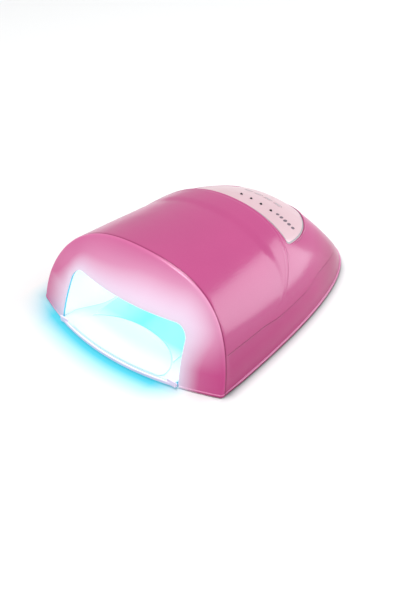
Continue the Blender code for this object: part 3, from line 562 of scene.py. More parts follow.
def monotone_curve(stations, place):
    """Height at a place on a smooth curve through the stations, which never overshoots them."""
    places = [station[0] for station in stations]
    heights = [station[1] for station in stations]
    widths = [b - a for a, b in zip(places, places[1:])]
    slopes = [(b - a) / width for a, b, width in zip(heights, heights[1:], widths)]
    tangents = [slopes[0]]
    for spot in range(1, len(slopes)):
        before, after = 2 * widths[spot] + widths[spot - 1], widths[spot] + 2 * widths[spot - 1]
        tangents.append((before + after) / (before / slopes[spot - 1] + after / slopes[spot]))
    tangents.append(slopes[-1])
    spot = max(0, min(len(widths) - 1, sum(place >= edge for edge in places) - 1))
    width = widths[spot]
    t = (place - places[spot]) / width
    return ((1 + 2 * t) * (1 - t) ** 2 * heights[spot] + t * (1 - t) ** 2 * width * tangents[spot]
            + t * t * (3 - 2 * t) * heights[spot + 1] + t * t * (t - 1) * width * tangents[spot + 1])


def half_width(run):
    along, across = PLAN_POWERS
    return HALF_WIDTH * (1 - (run / SECTION_RUN) ** along) ** (1 / across)


def front_y(x, z):
    return -FRONT_BULGE + FRONT_BULGE * (x / HALF_WIDTH) ** 2 + FRONT_LEAN * z + FRONT_CURL * z * z


def front_line(half, steps, offset):
    """Plan points from left to right along the foot of the front face, moved back by an offset."""
    return [(x, Y_CORNER + front_y(x, 0) + offset) for x in spread(-half, half, steps)]


def arch(run, share):
    """Point and normal of the section at a run, from the foot (share 0) to the crown (share 1)."""
    blend = min(1.0, run / ARCH_BLEND_RUN)
    lean, rise, reach = (mix(front, rear, blend) for front, rear in zip(ARCH_FRONT, ARCH_REAR))
    handles = ((1.0, 0.0), (1 - lean * rise, rise), (reach, 1.0), (0.0, 1.0))
    rest = 1 - share
    weights = (rest ** 3, 3 * rest ** 2 * share, 3 * rest * share ** 2, share ** 3)
    slopes = (-3 * rest ** 2, 3 * rest * (rest - 2 * share), 3 * share * (2 * rest - share), 3 * share ** 2)
    scales = half_width(run), monotone_curve(CROWN_HEIGHTS, run)
    x, z, dx, dz = (scale * sum(w * handle[axis] for w, handle in zip(terms, handles))
                    for terms in (weights, slopes) for axis, scale in enumerate(scales))
    size = hypot(dx, dz)
    return x, z, dz / size, -dx / size


def visor_edge(share):
    return VISOR_RUN - VISOR_SWEEP * min(1.03 - share, VISOR_REACH) ** 3.87


def visor_fade(share):
    return smooth_step((share - 0.25) / 0.45)


def visor_start(share):
    return visor_edge(share) - mix(0.006, VISOR_LENGTH, visor_fade(share))


def visor_lift(share, along):
    return VISOR_RISE * visor_fade(share) * (0.32 * smooth_step(along / 0.35) + 0.68 * along)


def surface(run, side, rise=0.0, inset=0.0):
    """Point of the hood. Side runs from -1, the left foot, over 0, the crown, to 1, the right foot."""
    share = 1 - abs(side)
    x, z, normal_x, normal_z = arch(run, share)
    x = (x + rise * normal_x) * (1 - inset / half_width(run))
    z = (z + rise * normal_z) * (1 - inset / monotone_curve(CROWN_HEIGHTS, run))
    front_share = max(0.0, 1 - run / (0.5 * SECTION_RUN))
    return Vector((copysign(x, side), Y_CORNER + run + front_share * front_y(x, z), z))


def surface_z(x, y):
    """Height of the rear body over a point of the plan."""
    run = y - Y_CORNER
    low, high = 0.0, 1.0
    for _ in range(30):
        middle = (low + high) / 2
        if arch(run, middle)[0] > abs(x):
            low = middle
        else:
            high = middle
    return arch(run, low)[1]


def doorway(half_bottom, half_top, height, corner, side, bottom=0.0):
    """Point (x, z) of a doorway outline. Side runs from -1, the left foot, over 0 to 1, the right foot."""
    share = 1 - abs(side)
    jamb, arc = 0.40, 0.30
    if share <= jamb:
        x, z = mix(half_bottom, half_top, share / jamb), mix(bottom, height - corner, share / jamb)
    elif share <= jamb + arc:
        angle = (share - jamb) / arc * pi / 2
        x = half_top - corner + corner * cos(angle)
        z = height - corner + corner * sin(angle)
    else:
        x, z = mix(half_top - corner, 0.0, (share - jamb - arc) / (1 - jamb - arc)), height
    return copysign(x, side), z


def crease_sides(count):
    """Side values with three close lines at the flank's crease."""
    close = [side * (1 - CREASE_LEVEL + step) for side in (-1, 1)
             for step in (-CREASE_STEP, 0.0, CREASE_STEP)]
    return sorted(close + [side for side in spread(-1, 1, count)
                           if all(abs(side - near) > 1.5 * CREASE_STEP for near in close)])


def follow_crease(run, side):
    """Side value at a run, shifted so that the crease's line rises and falls as it runs back."""
    level = 1 - abs(side)
    shift = monotone_curve(CREASE_SHIFTS, run)
    reach = CREASE_LEVEL if level < CREASE_LEVEL else 0.45 - CREASE_LEVEL
    level += shift * smooth_step(1 - abs(level - CREASE_LEVEL) / reach)
    return copysign(1 - level, side)


def flank_depth(run, side):
    """How far the flank stands back under its crease."""
    level = 1 - abs(side)
    under = smooth_step((CREASE_LEVEL - level) / CREASE_STEP) * mix(0.4, 1.0, level / CREASE_LEVEL)
    return CREASE_DEPTH * under * smooth_step((run - 0.003) / 0.006) * smooth_step((SHELL_RUN - run) / 0.02)


# the visor's edge in section: distance past the edge line, and height as a share of the rise
VISOR_PROFILE = ((-0.0054, 0.93), (-0.0046, 0.92), (-0.0039, 0.85), (-0.0031, 0.85), (-0.0024, 0.94),
                 (-0.0016, 0.97), (-0.0009, 0.92), (-0.0004, 0.82),
                 (0.0001, 0.66), (0.0005, 0.46), (0.0008, 0.26), (0.0011, 0.10), (0.0014, 0.01),
                 (0.0018, -0.04), (0.0024, -0.02), (0.0030, 0.0))


LIP_STEPS, FACE_STEPS, RIM_STEPS, HOOD_STEPS, VISOR_STEPS, REAR_STEPS, END_STEPS = 3, 12, 6, 24, 16, 34, 5
CREASE_FIRST_ROW = LIP_STEPS + FACE_STEPS + RIM_STEPS + 1 + len(GROOVE_PROFILE) + 1


def shell_rows(sides):
    """Rows of (outer, inner) points from the opening's edge over the rim and hood to the rear end."""
    rim = [surface(0.0, side) for side in sides]
    inner_rim = [surface(WALL, side, inset=WALL) for side in sides]
    opening = [doorway(OPENING_HALF_BOTTOM, OPENING_HALF_TOP, OPENING_HEIGHT, OPENING_CORNER, side)
               for side in sides]
    spots = range(len(sides))

    def face_point(spot, edge, share, depth=0.0):
        x = mix(opening[spot][0], edge[spot].x, share)
        z = mix(opening[spot][1], edge[spot].z, share)
        return Vector((x, Y_CORNER + front_y(x, z) + depth, z))

    face_lengths = [(rim[spot] - face_point(spot, rim, 0.0)).length for spot in spots]
    rim_starts = [1 - RIM_RADIUS / length for length in face_lengths]

    def lip_pair(spot, angle):
        outer, beside = face_point(spot, rim, 0.0), face_point(spot, rim, 0.05)
        outward = beside - outer
        inner_share = LIP_RADIUS / outward.length * 0.05
        inner = mix(outer, face_point(spot, inner_rim, inner_share), 1 - sin(angle))
        point = outer + outward.normalized() * LIP_RADIUS * (1 - sin(angle))
        return (point + Vector((0, LIP_RADIUS * (1 - cos(angle)), 0)), inner + Vector((0, WALL, 0)))

    def face_pair(spot, ring):
        share = mix(LIP_RADIUS / face_lengths[spot], rim_starts[spot], ring)
        return face_point(spot, rim, share), face_point(spot, inner_rim, share, WALL)

    def rim_pair(spot, t):
        start, place = rim_starts[spot], follow_crease(RIM_RADIUS, sides[spot])
        outer = ((1 - t) ** 2 * face_point(spot, rim, start) + 2 * t * (1 - t) * rim[spot]
                 + t * t * surface(RIM_RADIUS, place))
        inner_start = face_point(spot, inner_rim, start, WALL)
        return outer, mix(inner_start, surface(RIM_RADIUS, place, inset=WALL), t)

    def hood_pair(run, side, rise=0.0):
        place = follow_crease(run, side)
        return surface(run, place, rise - flank_depth(run, side)), surface(max(run, WALL), place, inset=WALL)

    def visor_pair(side, share):
        level = 1 - abs(side)
        start, edge = visor_start(level), visor_edge(level)
        run = mix(start, edge + VISOR_PROFILE[0][0], share)
        return hood_pair(run, side, visor_lift(level, (run - start) / (edge - start)))

    def end_pair(side, angle):
        place, tuck = follow_crease(end, side), END_RADIUS * (1 - cos(angle))
        outer, inner = surface(end, place, inset=tuck), surface(end, place, inset=WALL + tuck)
        outer.y = Y_CORNER + end + END_RADIUS * sin(angle)
        inner.y = Y_CORNER + end + (END_RADIUS - WALL) * sin(angle)
        return outer, inner

    quarter, end = pi / 2, SHELL_RUN - END_RADIUS
    rows = [[lip_pair(spot, angle) for spot in spots] for angle in spread(quarter, 0.0, LIP_STEPS)[:-1]]
    rows += [[face_pair(spot, ring) for spot in spots] for ring in spread(0.0, 1.0, FACE_STEPS)[:-1]]
    rows += [[rim_pair(spot, t) for spot in spots] for t in spread(0.0, 1.0, RIM_STEPS)]
    rows += [[hood_pair(RIM_RADIUS + past, side, -GROOVE_DEPTH * depth) for side in sides]
             for past, depth in GROOVE_PROFILE]
    rows += [[hood_pair(mix(HOOD_START, visor_start(1 - abs(side)), share), side) for side in sides]
             for share in spread(0.0, 1.0, HOOD_STEPS)]
    rows += [[visor_pair(side, share) for side in sides] for share in spread(0.0, 1.0, VISOR_STEPS)[1:-1]]
    rows += [[hood_pair(visor_edge(1 - abs(side)) + offset, side,
                        VISOR_RISE * visor_fade(1 - abs(side)) * height) for side in sides]
             for offset, height in VISOR_PROFILE]
    past = VISOR_PROFILE[-1][0]
    rows += [[hood_pair(mix(visor_edge(1 - abs(side)) + past, end, 1 - rest ** 1.5), side) for side in sides]
             for rest in spread(1.0, 0.0, REAR_STEPS)[1:]]
    return rows + [[end_pair(side, angle) for side in sides] for angle in spread(0.0, quarter, END_STEPS)[1:]]


def make_shell(paint, crease_shade_paint):
    sides = crease_sides(96)
    rows = shell_rows(sides)
    shape = []
    for skin in (0, 1):
        grid = [[pair[skin] for pair in row] for row in rows]
        for row in grid:
            row.insert(0, Vector((row[0].x, row[0].y, -0.004)))
            row.append(Vector((row[-1].x, row[-1].y, -0.004)))
        shape.append(loft(grid, closed_rings=False, caps=False))
    (points, faces), (inner_points, inner_faces) = shape
    layer, width, height = len(points), len(sides) + 2, len(rows)
    last = layer - width
    faces += [tuple(layer + index for index in reversed(face)) for face in inner_faces]
    faces.append(tuple(range(last, layer)))
    faces.append(tuple(layer + index for index in reversed(range(last, layer))))
    for spot in range(width - 1):
        faces.append((spot + 1, spot, layer + spot, layer + spot + 1))
    for a in range(0, last, width):
        b = a + width
        faces.append((a, b, layer + b, layer + a))
        faces.append((b + width - 1, b - 1, layer + b - 1, layer + b + width - 1))
    faces.append((last, layer - 1, 2 * layer - 1, layer + last))
    shell = new_object("shell_moulding", points + inner_points, faces, paint, crease_shade_paint)
    crease_middle = 1 - CREASE_LEVEL + CREASE_STEP / 2
    steps = [spot + 1 for spot, (a, b) in enumerate(zip(sides, sides[1:]))
             if abs(abs(a + b) / 2 - crease_middle) < 0.001]
    # The faces of the crease's step get the dark paint: painted shade along the crease.
    for row in range(CREASE_FIRST_ROW, height - 1):
        for spot in steps:
            shell.data.polygons[row * (width - 1) + spot].material_index = 1
    holes = [control_cylinder(x, KEY_Y, STEM_RADIUS + 0.0005, -0.006, 0.004) for x in control_places(KEY_X)]
    holes += [control_cylinder(x, DOT_Y, DOT_RADIUS + GAP, -0.006, 0.004) for x in control_places(DOT_X)]
    for shapes in ([box_shape((-0.2, -0.2, -0.05), (0.2, 0.2, SHELL_BOTTOM))],
                   [panel_shape(0.0004, -PANEL_POCKET, 0.01)], holes,
                   [box_shape((-INLET_HALF_WIDTH, INLET_Y, 0.0), (INLET_HALF_WIDTH, 0.2, 0.08))]):
        carve(shell, shapes)
    piece(shell, "pearl_pink", "top_shell")


# ---------------- control panel
def control_places(first):
    return [first + CONTROL_PITCH * number for number in range(4)]


def panel_tilt():
    middle_x = (control_places(KEY_X)[0] + control_places(DOT_X)[-1]) / 2
    fall = surface_z(middle_x, KEY_Y) - surface_z(middle_x, DOT_Y)
    return Matrix.Rotation(atan2(fall, KEY_Y - DOT_Y), 4, "X")


def control_place(x, y):
    return at(x, y, surface_z(x, y)) @ panel_tilt()


def control_cylinder(x, y, radius, bottom, top):
    return turned_shape(((radius, bottom), (radius, top)), 24, control_place(x, y))


def panel_outline(grow):
    """D shape: a bowed front edge with rounded corners and a half-ellipse behind."""
    corner = 0.002
    half, depth = PANEL_HALF_WIDTH + grow, PANEL_DEPTH + grow
    back = ellipse_outline(0, PANEL_Y, half, depth, 72, 0.06, pi - 0.12)
    left = [(-half + corner * (1 - cos(a)), PANEL_Y - grow + corner * (1 - sin(a)))
            for a in (pi / 10 * step for step in range(6))]
    front = [(half * spot / 16, PANEL_Y - grow + PANEL_BOW * (1 - (spot / 16) ** 4))
             for spot in range(-15, 16)]
    right = [(-x, y) for x, y in reversed(left)]
    return back + left + front + right


def panel_layer(grow, level, scales):
    """Points over the panel's plan, as rings that shrink to its middle, at a level over the surface."""
    centre = (0.0, PANEL_Y + 0.6 * PANEL_DEPTH)
    points = []
    for scale in scales:
        for x, y in panel_outline(grow):
            px, py = mix(centre[0], x, scale), mix(centre[1], y, scale)
            points.append(Vector((px, py, surface_z(px, py) + level)))
    points.append(Vector((*centre, surface_z(*centre) + level)))
    return points


def panel_shape(grow, bottom, top, edge=0.0):
    """A plate over the panel's plan that follows the curved body. Its upper edge is eased by edge."""
    rings = 14
    scales = [1 - ring / rings for ring in range(rings)]
    below, above = panel_layer(grow, bottom, scales), panel_layer(grow, top, scales)
    count = len(panel_outline(grow))
    layer = len(below)
    points = below + above
    if edge:
        eased = panel_layer(grow - edge, top, [1.0])[:count]
        for spot in range(count):
            points[layer + spot] = above[spot] - Vector((0, 0, edge))
        points += eased
    faces = []
    top_ring = [2 * layer + spot if edge else layer + spot for spot in range(count)]
    for spot in range(count):
        after = (spot + 1) % count
        faces.append((spot, after, layer + after, layer + spot))
        if edge:
            faces.append((layer + spot, layer + after, top_ring[after], top_ring[spot]))
        for ring in range(rings - 1):
            a, b = ring * count + spot, ring * count + after
            faces.append((a, a + count, b + count, b))
            c, d = (top_ring[spot], top_ring[after]) if ring == 0 else (layer + a, layer + b)
            faces.append((c, d, layer + b + count, layer + a + count))
        inner = (rings - 1) * count
        faces.append((inner + spot, layer - 1, inner + after))
        faces.append((layer + inner + spot, layer + inner + after, 2 * layer - 1))
    return points, faces


def key_outline(grow):
    return slot_outline(KEY_HALF_LENGTH + grow, KEY_HALF_WIDTH + grow, 12)


def over_surface(place, x, y, level):
    """Point at (x, y) of a frame on the panel, lifted by level from the curved surface under it."""
    spot = place @ Vector((x, y, 0))
    ground = Vector((spot.x, spot.y, surface_z(spot.x, spot.y)))
    return place @ Vector((x, y, (place.inverted() @ ground).z + level))


def printed(place, outline, bottom, top):
    """A thin mark over an outline on the panel, which follows the curved surface."""
    return loft([[over_surface(place, x, y, level) for x, y in outline] for level in (bottom, top)])


def make_panel(paints):
    overlay = new_object("panel_film", *panel_shape(0.0, -PANEL_TOP - PANEL_THICKNESS, -PANEL_TOP, 0.0002),
                         paints["overlay"])
    openings = []
    for x in control_places(KEY_X):
        place = control_place(x, KEY_Y)
        openings.append(loft([[place @ Vector((px, py, z)) for px, py in key_outline(0.0004)]
                              for z in (-0.004, 0.004)]))
    openings += [control_cylinder(x, DOT_Y, DOT_RADIUS + GAP, -0.004, 0.004) for x in control_places(DOT_X)]
    carve(overlay, openings)
    piece(overlay, "overlay_film", "control_overlay")
    make_border(paints["border"])
    make_bead(paints["pink"])
    for number, (key_x, dot_x) in enumerate(zip(control_places(KEY_X), control_places(DOT_X)), 1):
        make_key(number, control_place(key_x, KEY_Y), paints)
        make_lens(number, control_place(dot_x, DOT_Y), paints["lens"])
    make_emblem(paints["dark_mark"])


def make_border(paint):
    """A printed line just inside the film's edge."""
    level, drop = -PANEL_TOP + 0.00006, Vector((0, 0, 0.00008))
    outer, inner = (panel_layer(-inset, level, [1.0])[:-1] for inset in (0.0003, 0.0011))
    points, faces = loft([[inn - drop, inn, out, out - drop] for out, inn in zip(outer, inner)], caps=False)
    last = len(points) - 4
    faces += [(last + spot, last + (spot + 1) % 4, (spot + 1) % 4, spot) for spot in range(4)]
    add_piece("panel_border", (points, faces), paint, "overlay_film")


def make_bead(paint):
    """A fine raised bead round the panel's sides and rear."""
    front_points = 31
    path = [Vector((x, y, surface_z(x, y) - 0.0001)) for x, y in panel_outline(0.0011)[:-front_points]]
    rings, last = [], len(path) - 1
    for spot, point in enumerate(path):
        ahead = (path[min(spot + 1, last)] - path[max(spot - 1, 0)]).normalized()
        outward = ahead.cross(Vector((0, 0, 1))).normalized()
        up = outward.cross(ahead)
        radius = 0.0008 * min(1.0, 0.3 + 0.2 * min(spot, last - spot))
        rings.append([point + radius * (outward * x + up * y) for x, y in ellipse_outline(0, 0, 1, 1, 10)])
    bead = new_object("panel_bead", *loft(rings), paint, smooth=60)
    face_outwards(bead)
    piece(bead, "pearl_pink")


def make_key(number, place, paints):
    """A slim key of the panel's own colour, with a stem to its switch and a small printed mark."""
    levels = ((0.90, -0.0006), (1.0, -0.0005), (1.0, -0.00012), (0.985, -0.00003), (0.95, 0.0),
              (0.5, 0.00003))
    cap = loft([[over_surface(place, x * scale, y * scale, level) for x, y in key_outline(0.0)]
                for scale, level in levels])
    low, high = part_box(f"key_{number}")
    bottom = min((place.inverted() @ Vector((place.translation.x, high.y, low.z))).z, -0.004)
    stem = turned_shape(((STEM_RADIUS * 0.9, bottom), (STEM_RADIUS, bottom + 0.0002), (STEM_RADIUS, -0.0005)),
                        20, place)
    add_piece(f"panel_key_{number}", join_shapes([cap, stem]), paints["overlay"], "overlay_film",
              f"key_{number}", body=f"key_{number}")
    marks = []
    for row, (start, length) in enumerate(((-0.0036, 0.0074), (-0.0032, 0.0060))):
        y = 0.0010 - 0.0020 * row
        outline = ((start - 0.0003, y - 0.0006), (start + length - 0.0003, y - 0.0006),
                   (start + length + 0.0003, y + 0.0006), (start + 0.0003, y + 0.0006))
        fine = []
        for (x0, y0), (x1, y1) in zip(outline, outline[1:] + outline[:1]):
            steps = 8 if abs(x1 - x0) > 0.001 else 1
            fine += [(mix(x0, x1, step / steps), mix(y0, y1, step / steps)) for step in range(steps)]
        marks.append(printed(place, fine, 0.0, 0.00006))
    add_piece(f"key_mark_{number}", join_shapes(marks), paints["mark"], "overlay_film", body=f"key_{number}")


def make_lens(number, place, paint):
    profile = [(DOT_RADIUS * share, level) for share, level in (
        (1.0, -0.0030), (1.0, 0.0002), (0.92, 0.0006), (0.7, 0.0009), (0.4, 0.0011), (0.1, 0.00115))]
    add_piece(f"indicator_lens_{number}", turned_shape(profile, 24, place), paint, "smoked_lens",
              f"light_pipe_{number}")


def make_emblem(paint):
    """A plain row of five fingernail shapes, printed near the panel's right end."""
    shapes = []
    for number in range(5):
        outline = ellipse_outline(0, 0, 0.0014, 0.0030 - 0.0003 * abs(number - 2), 20)
        place = control_place(0.0362 + 0.0044 * number, 0.0570)
        shapes.append(printed(place, outline, -PANEL_TOP - 0.00004, -PANEL_TOP + 0.00006))
    add_piece("panel_emblem", join_shapes(shapes), paint, "overlay_film")


# ---------------- base, feet and screws
def base_outline(grow):
    """The body's plan outline, grown by a margin that fades out along the front."""
    right = [surface(mix(RIM_RADIUS, SHELL_RUN, 1 - rest ** 1.7), 1) for rest in spread(1.0, 0.0, 60)]
    front = front_line(HALF_WIDTH - RIM_RADIUS, 60, 0.0)
    last, corner = Vector((*front[-1], 0)), surface(0, 1)
    turn = [(1 - t) ** 2 * last + 2 * t * (1 - t) * corner + t * t * right[0] for t in (0.2, 0.4, 0.6, 0.8)]
    side = [(p.x, p.y) for p in turn + right]
    outline = side + [(-x, y) for x, y in reversed(side)] + front
    return [tuple(Vector(near).lerp(Vector(far), mix(0.1, 1.0, smooth_step((near[1] + 0.108) / 0.03))))
            for near, far in zip(outline, inset_outline(outline, -grow))]


def round_boxes(kind, count):
    """Bottom middle, radius and height of each of a kind of round CAD parts, by their names."""
    boxes = {}
    for number in range(1, count + 1):
        low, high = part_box(f"{kind}_{number}")
        place = at((low.x + high.x) / 2, (low.y + high.y) / 2, low.z)
        boxes[number] = place, (high.x - low.x) / 2, high.z - low.z
    return boxes


def make_base(paints):
    block = rounded_prism(base_outline(FLANGE * 0.9), BASE_BOTTOM, BASE_TOP, 0.0008)
    base = new_object("base_moulding", *block, paints["shell"])
    half = OPENING_HALF_BOTTOM + 0.0006
    mouth = [(-half, -0.2), (half, -0.2)] + front_line(half, 40, LIP_THICKNESS + GAP)[::-1]
    carve(base, [prism(mouth, -0.01, 0.01)])
    screws, feet = round_boxes("base_screw", 6), round_boxes("rubber_foot", 4)
    carve(base, [turned_shape(((0.0014, -0.01), (0.0014, 0.01)), 20, place)
                 for place, _, _ in screws.values()])
    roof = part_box("rubber_foot_1")[1].z + GAP
    carve(base, [turned_shape(((radius + GAP, -0.01), (radius + GAP, roof - place.translation.z)), 40, place)
                 for place, radius, _ in [*screws.values(), *feet.values()]])
    piece(base, "pearl_pink", "base_plate")
    for number, (place, head, length) in screws.items():
        profile = ((head * 0.72, 0.0), (head * 0.92, 0.0001), (head, 0.0004), (head, 0.0010),
                   (0.0011, 0.0010), (0.0011, length - 0.001), (0.0005, length))
        screw = new_object(f"screw_{number}", *turned_shape(profile, 28, place), paints["steel"])
        for half_x, half_y in ((0.0013, 0.00028), (0.00028, 0.0013)):
            points, faces = box_shape((-half_x, -half_y, -0.001), (half_x, half_y, 0.0005))
            carve(screw, [([place @ p for p in points], faces)])
        piece(screw, "steel", f"base_screw_{number}")
    for number, (place, radius, height) in feet.items():
        profile = ((radius * 0.70, 0.0), (radius * 0.90, 0.0), (radius * 0.975, height * 0.25),
                   (radius, height * 0.6), (radius, height))
        add_piece(f"foot_{number}", turned_shape(profile, 40, place), paints["rubber"], "rubber",
                  f"rubber_foot_{number}")


# ---------------- tray
def make_tray(paints):
    low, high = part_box("tray_plate")
    back = ellipse_outline(high.x - 0.02, high.y - 0.02, 0.02, 0.02, 14, 0.0, pi / 2)
    outline = front_line(high.x, 48, LIP_THICKNESS + GAP - FLANGE) + back
    outline += [(-x, y) for x, y in reversed(back)]
    add_piece("tray_plate_moulding", rounded_prism(outline, low.z, high.z, 0.0003), paints["tray"],
              "tray_white", "tray_plate", body="tray")

    low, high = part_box("tray_pad")
    arc = ellipse_outline(0, PAD_Y, PAD_HALF_WIDTH, PAD_HALF_DEPTH, 72, -0.02, pi + 0.04)
    outline = arc + front_line(0.0505, 40, LIP_THICKNESS - 0.0002)
    add_piece("tray_pad_moulding", rounded_prism(outline, low.z, high.z, 0.0003), paints["tray"],
              "tray_white", "tray_pad", body="tray")

    low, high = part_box("tray_mirror")
    inner = ellipse_outline(0, PAD_Y, PAD_HALF_WIDTH + 0.0012, PAD_HALF_DEPTH + 0.0012, 48,
                            pi * 0.84, -pi * 0.69)
    sheet = prism(inner + ellipse_outline(0, 0.0060, 0.0475, 0.0280, 40, 0.0, pi), low.z, high.z)
    add_piece("tray_mirror_film", sheet, paints["mirror"], "mirror_film", "tray_mirror", body="tray")
    make_lip(paints["clear"])
    for side in ("left", "right"):
        carried(f"tray_rail_{side}", paints["white"])


def make_lip(paint):
    """The clear band along the tray's front edge, with a small tab at each end."""
    low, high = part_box("tray_lip")
    half, band_top, ahead, corner = high.x + 0.0007, 0.0048, 0.0004, 0.0005
    back = LIP_THICKNESS + ahead - corner
    section = []
    for y, z, start in ((corner, band_top - corner, 90), (back, band_top - corner, 0),
                        (back, LIP_BOTTOM + corner, -90), (corner, LIP_BOTTOM + corner, -180)):
        angles = [radians(start + 90 - 30 * step) for step in range(4)]
        section += [(y + corner * cos(angle), z + corner * sin(angle)) for angle in angles]
    rings = [[Vector((x, front + y, z)) for y, z in section]
             for x, front in front_line(half, 60, -FLANGE - ahead)]
    lip = new_object("tray_lip_band", *loft(rings), paint)
    face_outwards(lip)
    piece(lip, "clear_plastic", "tray_lip", body="tray")
    y = Y_CORNER + front_y(half, 0) - FLANGE
    for side, name in ((-1, "left"), (1, "right")):
        x0, x1 = sorted((side * (half - 0.0095), side * (half - 0.0001)))
        tab = new_object(f"tray_tab_{name}", *box_shape((x0, y - 0.0016, LIP_BOTTOM), (x1, y, high.z)), paint)
        soften(tab, 0.0005, 3)
        piece(tab, "clear_plastic", body="tray")


# ---------------- cavity and emitters
def liner_width(run):
    funnel = smooth_step(run / LINER_FUNNEL_END)
    width = mix(OPENING_HALF_BOTTOM - 0.0006, LINER_HALF_WIDTH, funnel)
    if run > LINER_STRAIGHT_END:
        share = (run - LINER_STRAIGHT_END) / (LINER_END - LINER_STRAIGHT_END)
        width *= sqrt(max(0.0, 1 - share * share))
    return width


def led_places():
    """Frames on the cavity's ceiling and sides, whose +Z points away from the cavity, by CAD node."""
    places = {}
    for kind, count in (("ceiling", 6), ("left", 3), ("right", 3)):
        for number in range(1, count + 1):
            low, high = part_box(f"uv_led_{kind}_{number}")
            middle = (low + high) / 2
            place = at(middle.x, middle.y, LINER_HEIGHT)
            if kind != "ceiling":
                side = -1 if kind == "left" else 1
                place = at(side * LINER_HALF_WIDTH, middle.y, middle.z)
                place @= Matrix.Rotation(side * pi / 2, 4, "Y")
            places[f"uv_led_{kind}_{number}"] = place
    return places


def make_liner(paints):
    tray_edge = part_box("tray_plate")[1].x
    runs = spread(0.0, LINER_FUNNEL_END, 14) + spread(LINER_FUNNEL_END, LINER_STRAIGHT_END, 8)[1:]
    runs += [LINER_STRAIGHT_END + (LINER_END - LINER_STRAIGHT_END) * sin(pi / 2 * step / 14)
             for step in range(1, 14)]
    rows = []
    for run in runs:
        row = []
        width = liner_width(run)
        for side in spread(-1, 1, 84):
            lean = (OPENING_HALF_BOTTOM - OPENING_HALF_TOP) * max(0.0, 1 - run / LINER_FUNNEL_END)
            bottom = BASE_TOP + 0.0001 if width > tray_edge + 0.0004 else TRAY_TOP + GAP
            x, z = doorway(width, width - lean, LINER_HEIGHT, min(LINER_CORNER, width * 0.6), side, bottom)
            ahead = max(0.0, 1 - run / 0.12) * front_y(x, z)
            row.append(Vector((x, Y_CORNER + LINER_SETBACK + run + ahead, z)))
        rows.append(list(reversed(row)))
    points, faces = loft(rows, closed_rings=False, caps=False)
    faces.append(tuple(range(len(points) - len(rows[0]), len(points))))
    liner = new_object("reflector_moulding", points, faces, paints["liner"])
    modify(liner, "SOLIDIFY", thickness=LINER_WALL, offset=-1.0, use_even_offset=True,
           use_quality_normals=True)
    carve(liner, [turned_shape(((LED_HOLE, -0.006), (LED_HOLE, 0.006)), 28, place)
                  for place in led_places().values()])
    piece(liner, "reflector_white", "reflector_liner")


def make_leds(paints):
    """Each emitter: a round moulded body with a clear dome that stands into the cavity."""
    for name, place in led_places().items():
        low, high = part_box(name)
        length = max((high - low).x if "ceiling" not in name else (high - low).z, 0.004) - LED_PROUD
        dome = [(LED_RADIUS * 0.86 * sin(angle) + 0.0001, -LED_PROUD * cos(angle))
                for angle in spread(0.0, pi / 2, 6)]
        dome.append((LED_RADIUS * 0.86, 0.0008))
        add_piece(name.replace("uv_led", "led_lens"), turned_shape(dome, 28, place), paints["led"],
                  "led_lens", name)
        collar = ((LED_RADIUS * 0.5, 0.0004), (LED_RADIUS * 0.90, 0.0), (LED_RADIUS, 0.0002),
                  (LED_RADIUS, length))
        add_piece(name.replace("uv_led", "led_body"), turned_shape(collar, 28, place), paints["white"],
                  "white_plastic")


# ---------------- inlet and inner parts
def slot_prism(half_length, y0, y1):
    """A rod along Y through the inlet, with the section of a two-pin socket."""
    outline = slot_outline(half_length, half_length * 0.62, 14)
    return loft([[Vector((x, y, INLET_Z + z)) for x, z in outline] for y in (y1, y0)])


def make_inlet(paints):
    low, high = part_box("inlet_housing")
    outer, inner = high.x, high.x - 0.0018
    ys, xs = spread(low.y + 0.0020, high.y, 16), spread(-inner, inner, 12)
    outline = [(x, low.y) for x in spread(-outer, outer, 12)]
    outline += [(outer, y) for y in ys] + [(inner, y) for y in reversed(ys)]
    outline += [(x, ys[0]) for x in reversed(xs[1:-1])] + [(-inner, y) for y in ys]
    outline += [(-outer, y) for y in reversed(ys)]
    rings = [[Vector((x, y, low.z)) for x, y in outline],
             [Vector((x, y, surface_z(x, y) - 0.0002)) for x, y in outline]]
    housing = new_object("inlet_bay", *loft(rings), paints["pink"], smooth=30)
    carve(housing, [slot_prism(0.0098, INLET_Y - 0.01, INLET_Y + 0.01)], smooth=30)
    piece(housing, "pearl_pink", "inlet_housing")
    low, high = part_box("mains_inlet")
    body = new_object("inlet_body", *slot_prism(0.0094, INLET_Y - 0.0150, high.y), paints["black"])
    carve(body, [slot_prism(0.0068, INLET_Y - 0.0110, INLET_Y + 0.02)])
    soften(body, 0.0003, 2)
    piece(body, "black_plastic", "mains_inlet")
    for x, name in ((-0.0043, "left"), (0.0043, "right")):
        place = at(x, INLET_Y - 0.0115, INLET_Z) @ Matrix.Rotation(-pi / 2, 4, "X")
        profile = ((0.0012, 0.0), (0.0012, 0.0107), (0.0011, 0.0111), (0.0007, 0.0114))
        add_piece(f"inlet_pin_{name}", turned_shape(profile, 20, place), paints["brass"], "steel")


def carried(name, paint):
    """Gives a CAD node that is shown as it is its finish."""
    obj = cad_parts[name]
    if not obj.material_slots:
        obj.data.materials.append(paint)
    for slot in obj.material_slots:
        slot.material = paint


def paint_inner_parts(paints):
    finishes = {
        "green": ("control_board", "driver_board"),
        "white_board": ("ceiling_led_board", "side_led_board_left", "side_led_board_right"),
        "aluminium": ("led_heat_sink", "driver_heat_sink"),
        "black": ("driver_capacitor", "mains_wire", "led_wire", *(f"tact_switch_{n}" for n in range(1, 5))),
        "tape": ("driver_transformer",),
        "white": ("driver_connector",),
    }
    for finish, names in finishes.items():
        for name in names:
            carried(name, paints[finish])


